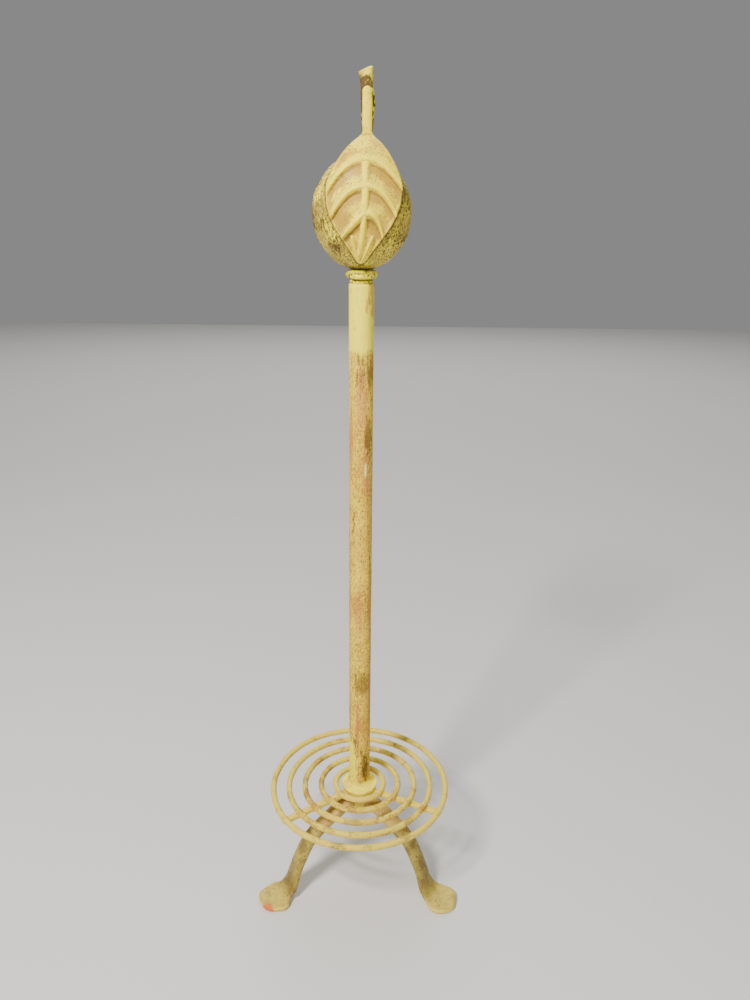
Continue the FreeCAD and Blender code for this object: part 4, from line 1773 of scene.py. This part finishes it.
@dataclass
class Leaf:
    """The pressed leaf on the fruit's front, with its stalk lying up the stem."""

    stalk_half_width: float = 2.3 * MM
    stalk_further: float = 3.4 * MM
    curl: float = 1.5 * MM
    outline: Stops = (
        (0.0 * MM, 0.8 * MM),
        (1.2 * MM, 2.4 * MM),
        (5.5 * MM, 5.3 * MM),
        (11.4 * MM, 9.7 * MM),
        (18.2 * MM, 14.2 * MM),
        (25.0 * MM, 16.9 * MM),
        (30.0 * MM, 17.6 * MM),
        (34.0 * MM, 17.8 * MM),
        (37.0 * MM, 17.1 * MM),
        (41.0 * MM, 15.4 * MM),
        (45.5 * MM, 12.9 * MM),
        (49.4 * MM, 10.3 * MM),
        (53.2 * MM, 7.0 * MM),
        (56.4 * MM, 3.6 * MM),
        (58.4 * MM, 2.35 * MM),
        (61.0 * MM, 2.25 * MM),
    )
    veins: tuple[Vein, ...] = (
        Vein(-1, 45.8 * MM, 11.4 * MM, 16.2 * MM, 2.0),
        Vein(1, 45.8 * MM, 11.0 * MM, 16.4 * MM, 2.0),
        Vein(-1, 33.8 * MM, 11.0 * MM, 14.6 * MM, 2.3),
        Vein(1, 34.0 * MM, 12.6 * MM, 14.8 * MM, 2.3),
        Vein(-1, 21.8 * MM, 8.6 * MM, 8.4 * MM, 1.15),
        Vein(1, 21.8 * MM, 9.2 * MM, 9.3 * MM, 3.0),
    )
    thickness: float = 1.1 * MM
    length: float = 58.0 * MM
    lean: float = 2.4 * MM
    rows: int = 300
    columns: int = 120
    bulge_width: float = 30.6 * MM
    vein_height: float = 1.75 * MM
    valley_depth: float = 0.35 * MM
    rim_height: float = 0.55 * MM
    rib_sway: Stops = ((0.0, -1.6 * MM), (0.011, 0.1 * MM), (0.025, 0.9 * MM), (0.045, 0.2 * MM))
    forks: Stops = ((-1, 4.2 * MM), (1, 5.6 * MM))

    def __post_init__(self) -> None:
        """Takes the leaf's place from the frame."""
        low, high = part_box("leaf")
        self.tip_z = low.z
        self.end_z = high.z + self.stalk_further
        self.front_y = low.y
        fruit_low, fruit_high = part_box("fruit_back_shell")
        self.fruit_middle = (fruit_low.z + fruit_high.z) / 2
        self.stem_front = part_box("finial_stem")[0].y

    def half_width_at(self, up: float) -> float:
        """Half the width of the leaf, or of its stalk.

        Args:
            up: The height above the leaf's tip.

        Returns:
            Half the width there.
        """
        from_end = (self.end_z - self.tip_z - up) / self.stalk_half_width
        if from_end < 1:
            return self.stalk_half_width * math.sqrt(max(0.02, 1 - (1 - from_end) ** 2))
        return read_curve(self.outline, up)

    def sheet_y(self, across: float, up: float) -> float:
        """Where the plain curved sheet lies, before its relief.

        Args:
            across: The distance from the leaf's middle line.
            up: The height above its tip.

        Returns:
            The place from front to back.
        """
        stalk = self.stem_front - 0.9 * MM
        if up > self.length:
            return stalk
        centre = self.fruit_middle + 1.0 * MM
        along = self.tip_z + self.length - centre + 1.2 * MM
        height = min(abs(self.tip_z + up - centre) / along, 0.9999)
        inside = max(0.0, self.bulge_width**2 * (1 - height**2) - across**2)
        sheet = self.front_y + 0.2 * MM + self.bulge_width - math.sqrt(inside)
        share = ramp(up, 0.90 * self.length, self.length)
        share = share * share * (3 - 2 * share)
        return sheet + (min(sheet, stalk) - sheet) * share

    def relief(self, up: float, across: float, edge: float) -> tuple[float, float, float]:
        """The pressed relief at a point.

        Args:
            up: The point's height above the tip.
            across: Its distance from the leaf's middle line.
            edge: Its distance from the outline.

        Returns:
            The height of the relief in metres, how much of it is a raised line, and how deep the
            hollow under a vein is there, as shares.
        """
        share = up / self.length
        middle = read_curve(self.rib_sway, up)
        rib = hump(across - middle, 0.95 * MM + 0.75 * MM * min(1.0, share / 0.6), 4)
        rib *= ramp(share, 0.80, 0.74) * ramp(share, 0.0, 0.07)
        veins, valley, lower = (
            max(vein.height(up + drop, across - middle) for vein in self.veins)
            for drop in (0.0, 2.6 * MM, 4.6 * MM)
        )
        valley = max(valley, lower * 0.6)
        fork = 0.0
        if share < 0.235:
            for side, far in self.forks:
                line = -0.5 * MM + side * far * (share / 0.21) ** 0.85
                fork = max(fork, hump(across - line, 0.75 * MM) * ramp(share, 0.225, 0.195))
        line = max(rib * 0.85, veins, fork * 0.8)
        valley *= 1 - line
        bulge = hump(share - 0.88, 0.09) * hump(across, 5.5 * MM)
        rim = hump(edge, 1.1 * MM) * self.rim_height
        total = (line + bulge * 0.7) * self.vein_height + rim - valley * self.valley_depth
        return total, line, valley

    def make_leaf(self) -> bpy.types.Object:
        """Makes the leaf and its stalk as one sheet.

        Returns:
            The leaf, with its marks.
        """
        front, back = [], []
        ridge, hollow, bare, dirt = [], [], [], []
        height = self.end_z - self.tip_z
        for row in range(self.rows + 1):
            up = height * row / self.rows
            half = self.half_width_at(up)
            middle = self.lean * min(1.0, up / self.length)
            on_blade = up < self.length
            neck = hump(up - self.length - 1 * MM, 3 * MM)
            for column in range(self.columns + 1):
                place_in_row = 2 * column / self.columns - 1
                share = math.sin(math.pi / 2 * place_in_row)
                across = half * share
                edge = half - abs(across)
                place = Vector((middle + across, self.sheet_y(across, up), self.tip_z + up))
                lifted, line, valley = 0.35 * MM * (1 - share**2), 0.9, 0.0
                if on_blade:
                    lifted, line, valley = self.relief(up, across, edge)
                roll = hump(edge, 0.45 * MM) * 0.35 * MM
                lifted += wobble(place, 5 * MM, 51.0) * 0.16 * MM + wobble(place, 1.3 * MM, 52.0) * 0.07 * MM
                lifted += self.curl * ramp(across / half, 0.55, 1.0) ** 2 * hump(up - 17 * MM, 12 * MM)
                place.y -= lifted - roll
                front.append(place)
                plain = self.sheet_y(place.x - self.lean * 0.5, up) + self.thickness
                behind = Vector((place.x, place.y + self.thickness, place.z))
                if abs(place_in_row) < 0.97:
                    behind.y = max(behind.y, min(plain, behind.y + 0.5 * MM))
                back.append(behind)
                # Lighter on the veins, the midrib and the rim: painted highlight.
                ridge.append(max(line, hump(edge, 1.0 * MM) * 0.9))
                crown = ramp(up / self.length, 0.8, 0.88) * hump(across, 6 * MM, 4)
                # Browner in the fields between the veins; the band under each vein is painted shade.
                field = max(0.0, 1 - 1.5 * line) * (0.62 + 0.6 * valley - 0.3 * crown)
                hollow.append(max(field, neck * 0.9) + wobble(place, 7 * MM, 53.0) * 0.45)
                bare.append(0.2 + wobble(place, 6 * MM, 54.0) * 0.3)
                # Darker under each vein and along the outline: painted shade; on the stalk, real dirt.
                extra = ramp(edge, 0.6 * MM, 0.0) * 0.9
                if not on_blade:
                    extra = max(0.0, 0.3 + wobble(place, 4 * MM, 55.0)) * 0.7
                dirt.append(valley**3 * 0.75 + extra - line * 0.25)
        piece = two_skins("leaf_blade", front, back, self.columns + 1)
        fronts = {"ridge": ridge, "hollow": hollow, "bare": bare, "dirt": dirt}
        backs = {"ridge": 0.0, "hollow": 0.6, "bare": 0.3, "dirt": 0.3}
        give_marks(piece, **{mark: fronts[mark] + [backs[mark]] * len(back) for mark in fronts})
        return piece

    def build(self) -> None:
        """Makes and paints the leaf."""
        paint = MarkedPaint(
            "leaf_paint",
            clean=(0.98, 0.75, 0.028),
            dull=Coat.STRAW.value,
            rubbed=Coat.BLUSH.value,
            dulling=0.5,
            rubbing=0.4,
            speckle=0.65,
            speck_size=0.8 * MM,
            cloud_size=6 * MM,
            seed=7.3,
            ridge=(0.98, 0.81, 0.03),
            hollow=(0.46, 0.27, 0.035),
            hollow_share=0.85,
            ridge_share=0.85,
            bare=Coat.TAN.value,
            dented=0.35 * MM,
        )
        dress(self.make_leaf(), paint.material(), "finial", ["leaf"])


@dataclass
class Twig:
    """The fruit's stem: a forged twig, cut on a slant at its top."""

    steps: int = 120
    section_points: int = 36
    above_leaf: float = 29.0 * MM
    squareness: float = 2.6
    slant: float = 0.42

    def make_stem(self) -> bpy.types.Object:
        """Makes the stem.

        Returns:
            The stem, with its marks.
        """
        low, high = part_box("finial_stem")
        deep = (high.y - low.y) * 0.96
        leaf_top = high.z - self.above_leaf
        middles = (
            (leaf_top, 2.3 * MM),
            (leaf_top + 12 * MM, 2.6 * MM),
            (leaf_top + 20 * MM, 2.2 * MM),
            (high.z, 1.4 * MM),
        )
        widths = (
            (leaf_top, 5.2 * MM),
            (leaf_top + 5 * MM, 5.6 * MM),
            (leaf_top + 12 * MM, 6.7 * MM),
            (leaf_top + 20 * MM, 6.1 * MM),
            (leaf_top + 25 * MM, 6.2 * MM),
            (high.z, 7.6 * MM),
        )
        loops = []
        for step in range(self.steps + 1):
            share = step / self.steps
            height = low.z + (high.z - low.z) * share
            middle, width = read_curve(middles, height), read_curve(widths, height)
            shrink = 0.72 + 0.28 * math.sqrt(min(1.0, (1 - share) * self.steps / 2.5))
            loop = []
            for across, up in rounded_section(
                width * shrink, deep * shrink, self.squareness, self.section_points
            ):
                slant = self.slant * (across - width / 2) * ramp(share, 0.85, 1.0) ** 2
                point = Vector((middle + across, up, height + slant))
                push = wobble(point, 4 * MM, 61.0) * 0.22 * MM + wobble(point, 1.5 * MM, 62.0) * 0.07 * MM
                point += Vector((across, up, 0)).normalized() * push
                point.y = max(point.y, low.y)
                loop.append(point)
            loops.append(loop)
        piece = lofted("finial_stem_twig", loops)
        bare, ridge, hollow = [], [], []
        for vertex in piece.data.vertices:
            down, right = high.z - vertex.co.z, vertex.co.x
            cap = max(ramp(down, 2.8 * MM, 4.8 * MM), ramp(right, -1.2 * MM, -2.0 * MM))
            mottle = 0.64 + 0.55 * wobble(vertex.co, 1.9 * MM, 63.0)
            bare.append(cap * mottle - 0.12 * (right > 4.4 * MM))
            ridge.append(ramp(down, 2.6 * MM, 0.0) * (0.6 + right / (8 * MM)))
            hollow.append(max(0.0, 0.9 - right / (4 * MM)))
        dirt = [max(0.0, share) ** 2 * 1.8 for share in bare]
        give_marks(piece, bare=bare, ridge=ridge, hollow=hollow, dirt=dirt)
        return piece

    def build(self) -> None:
        """Makes and paints the stem."""
        paint = MarkedPaint(
            "stem_paint",
            rubbed=Coat.BLUSH.value,
            dulling=0.4,
            rubbing=0.55,
            speckle=0.45,
            cloud_size=4 * MM,
            along=(1.0, 1.0, 0.6),
            seed=8.2,
            bare=Coat.SOOT.value,
            ridge=Coat.CREAM.value,
            ridge_share=0.6,
        )
        dress(self.make_stem(), paint.material(), "finial", ["finial_stem"])


# ---------------------------------------------------------------------------------------------
# The studio
# ---------------------------------------------------------------------------------------------


@dataclass
class Studio:
    """The pale floor, the soft lights and the camera."""

    camera_place: Point = (0.00793, -0.39324, 0.39403)
    camera_down: float = 19.28
    camera_roll: float = 0.615
    focal_length: float = 27.04
    target: Point = (0.0, 0.0, 0.25)
    floor_reach: float = 3.2

    def make_camera(self) -> None:
        """Sets the camera up."""
        data = bpy.data.cameras.new("camera")
        data.sensor_width = 36.0
        data.lens = self.focal_length
        data.clip_start = 0.01
        data.clip_end = 50.0
        camera = bpy.data.objects.new("camera", data)
        bpy.context.scene.collection.objects.link(camera)
        turn = Matrix.Rotation(math.radians(90 - self.camera_down), 4, "X")
        roll = Matrix.Rotation(math.radians(self.camera_roll), 4, "Z")
        camera.matrix_world = Matrix.Translation(self.camera_place) @ turn @ roll
        bpy.context.scene.camera = camera

    def make_light(self, name: str, place: Point, size: float, power: float, colour: Colour) -> None:
        """Adds a soft square light that faces the object's middle.

        Args:
            name: Its name.
            place: Where it stands.
            size: Its side.
            power: Its power in watts.
            colour: Its colour.
        """
        data = bpy.data.lights.new(name, "AREA")
        data.shape = "SQUARE"
        data.size = size
        data.energy = power
        data.color = colour
        light = bpy.data.objects.new(name, data)
        bpy.context.scene.collection.objects.link(light)
        aim = (Vector(self.target) - Vector(place)).to_track_quat("-Z", "Y").to_matrix().to_4x4()
        light.matrix_world = Matrix.Translation(place) @ aim

    def make_floor(self) -> None:
        """Adds the floor."""
        reach = self.floor_reach
        corners = [(-reach, -reach, 0.0), (reach, -reach, 0.0), (reach, reach, 0.0), (-reach, reach, 0.0)]
        floor = mesh_piece("floor", corners, [(0, 1, 2, 3)])
        bench = PaintBench(bpy.data.materials.new("floor_paint"))
        cloud = bench.grain(0.6, 2.0)
        colour = bench.mix((0.62, 0.61, 0.59), (0.66, 0.65, 0.63), cloud)
        floor.data.materials.append(bench.finish(colour, cloud * 0.1 + 0.7, cloud, 0.0001))

    def build(self) -> None:
        """Makes the studio."""
        self.make_camera()
        self.make_floor()
        self.make_light("key", (-0.42, -0.62, 1.02), 0.20, 20.0, (1.0, 0.97, 0.92))
        self.make_light("front", (-0.10, -1.10, 0.55), 0.5, 3.2, (1.0, 0.98, 0.95))
        self.make_light("fill", (1.1, -0.6, 0.6), 1.0, 3.2, (0.95, 0.97, 1.0))
        self.make_light("ceiling", (0.0, 1.9, 2.2), 2.6, 52.0, (1.0, 1.0, 1.0))
        world = bpy.data.worlds.new("world")
        bpy.context.scene.world = world
        world.use_nodes = True
        background = world.node_tree.nodes["Background"]
        background.inputs["Color"].default_value = (0.80, 0.80, 0.80, 1.0)
        background.inputs["Strength"].default_value = 0.32


def main() -> None:
    """Builds the whole scene."""
    logging.basicConfig(level=logging.INFO, format="%(name)s: %(message)s")
    leaf = Leaf()
    for part in (Studio(), WireTray(), Tripod(), Hub(), Post(), Neck(), Fruit(leaf), leaf, Twig()):
        LOG.info("making %s", type(part).__name__)
        part.build()


if __name__ == "__main__":
    main()
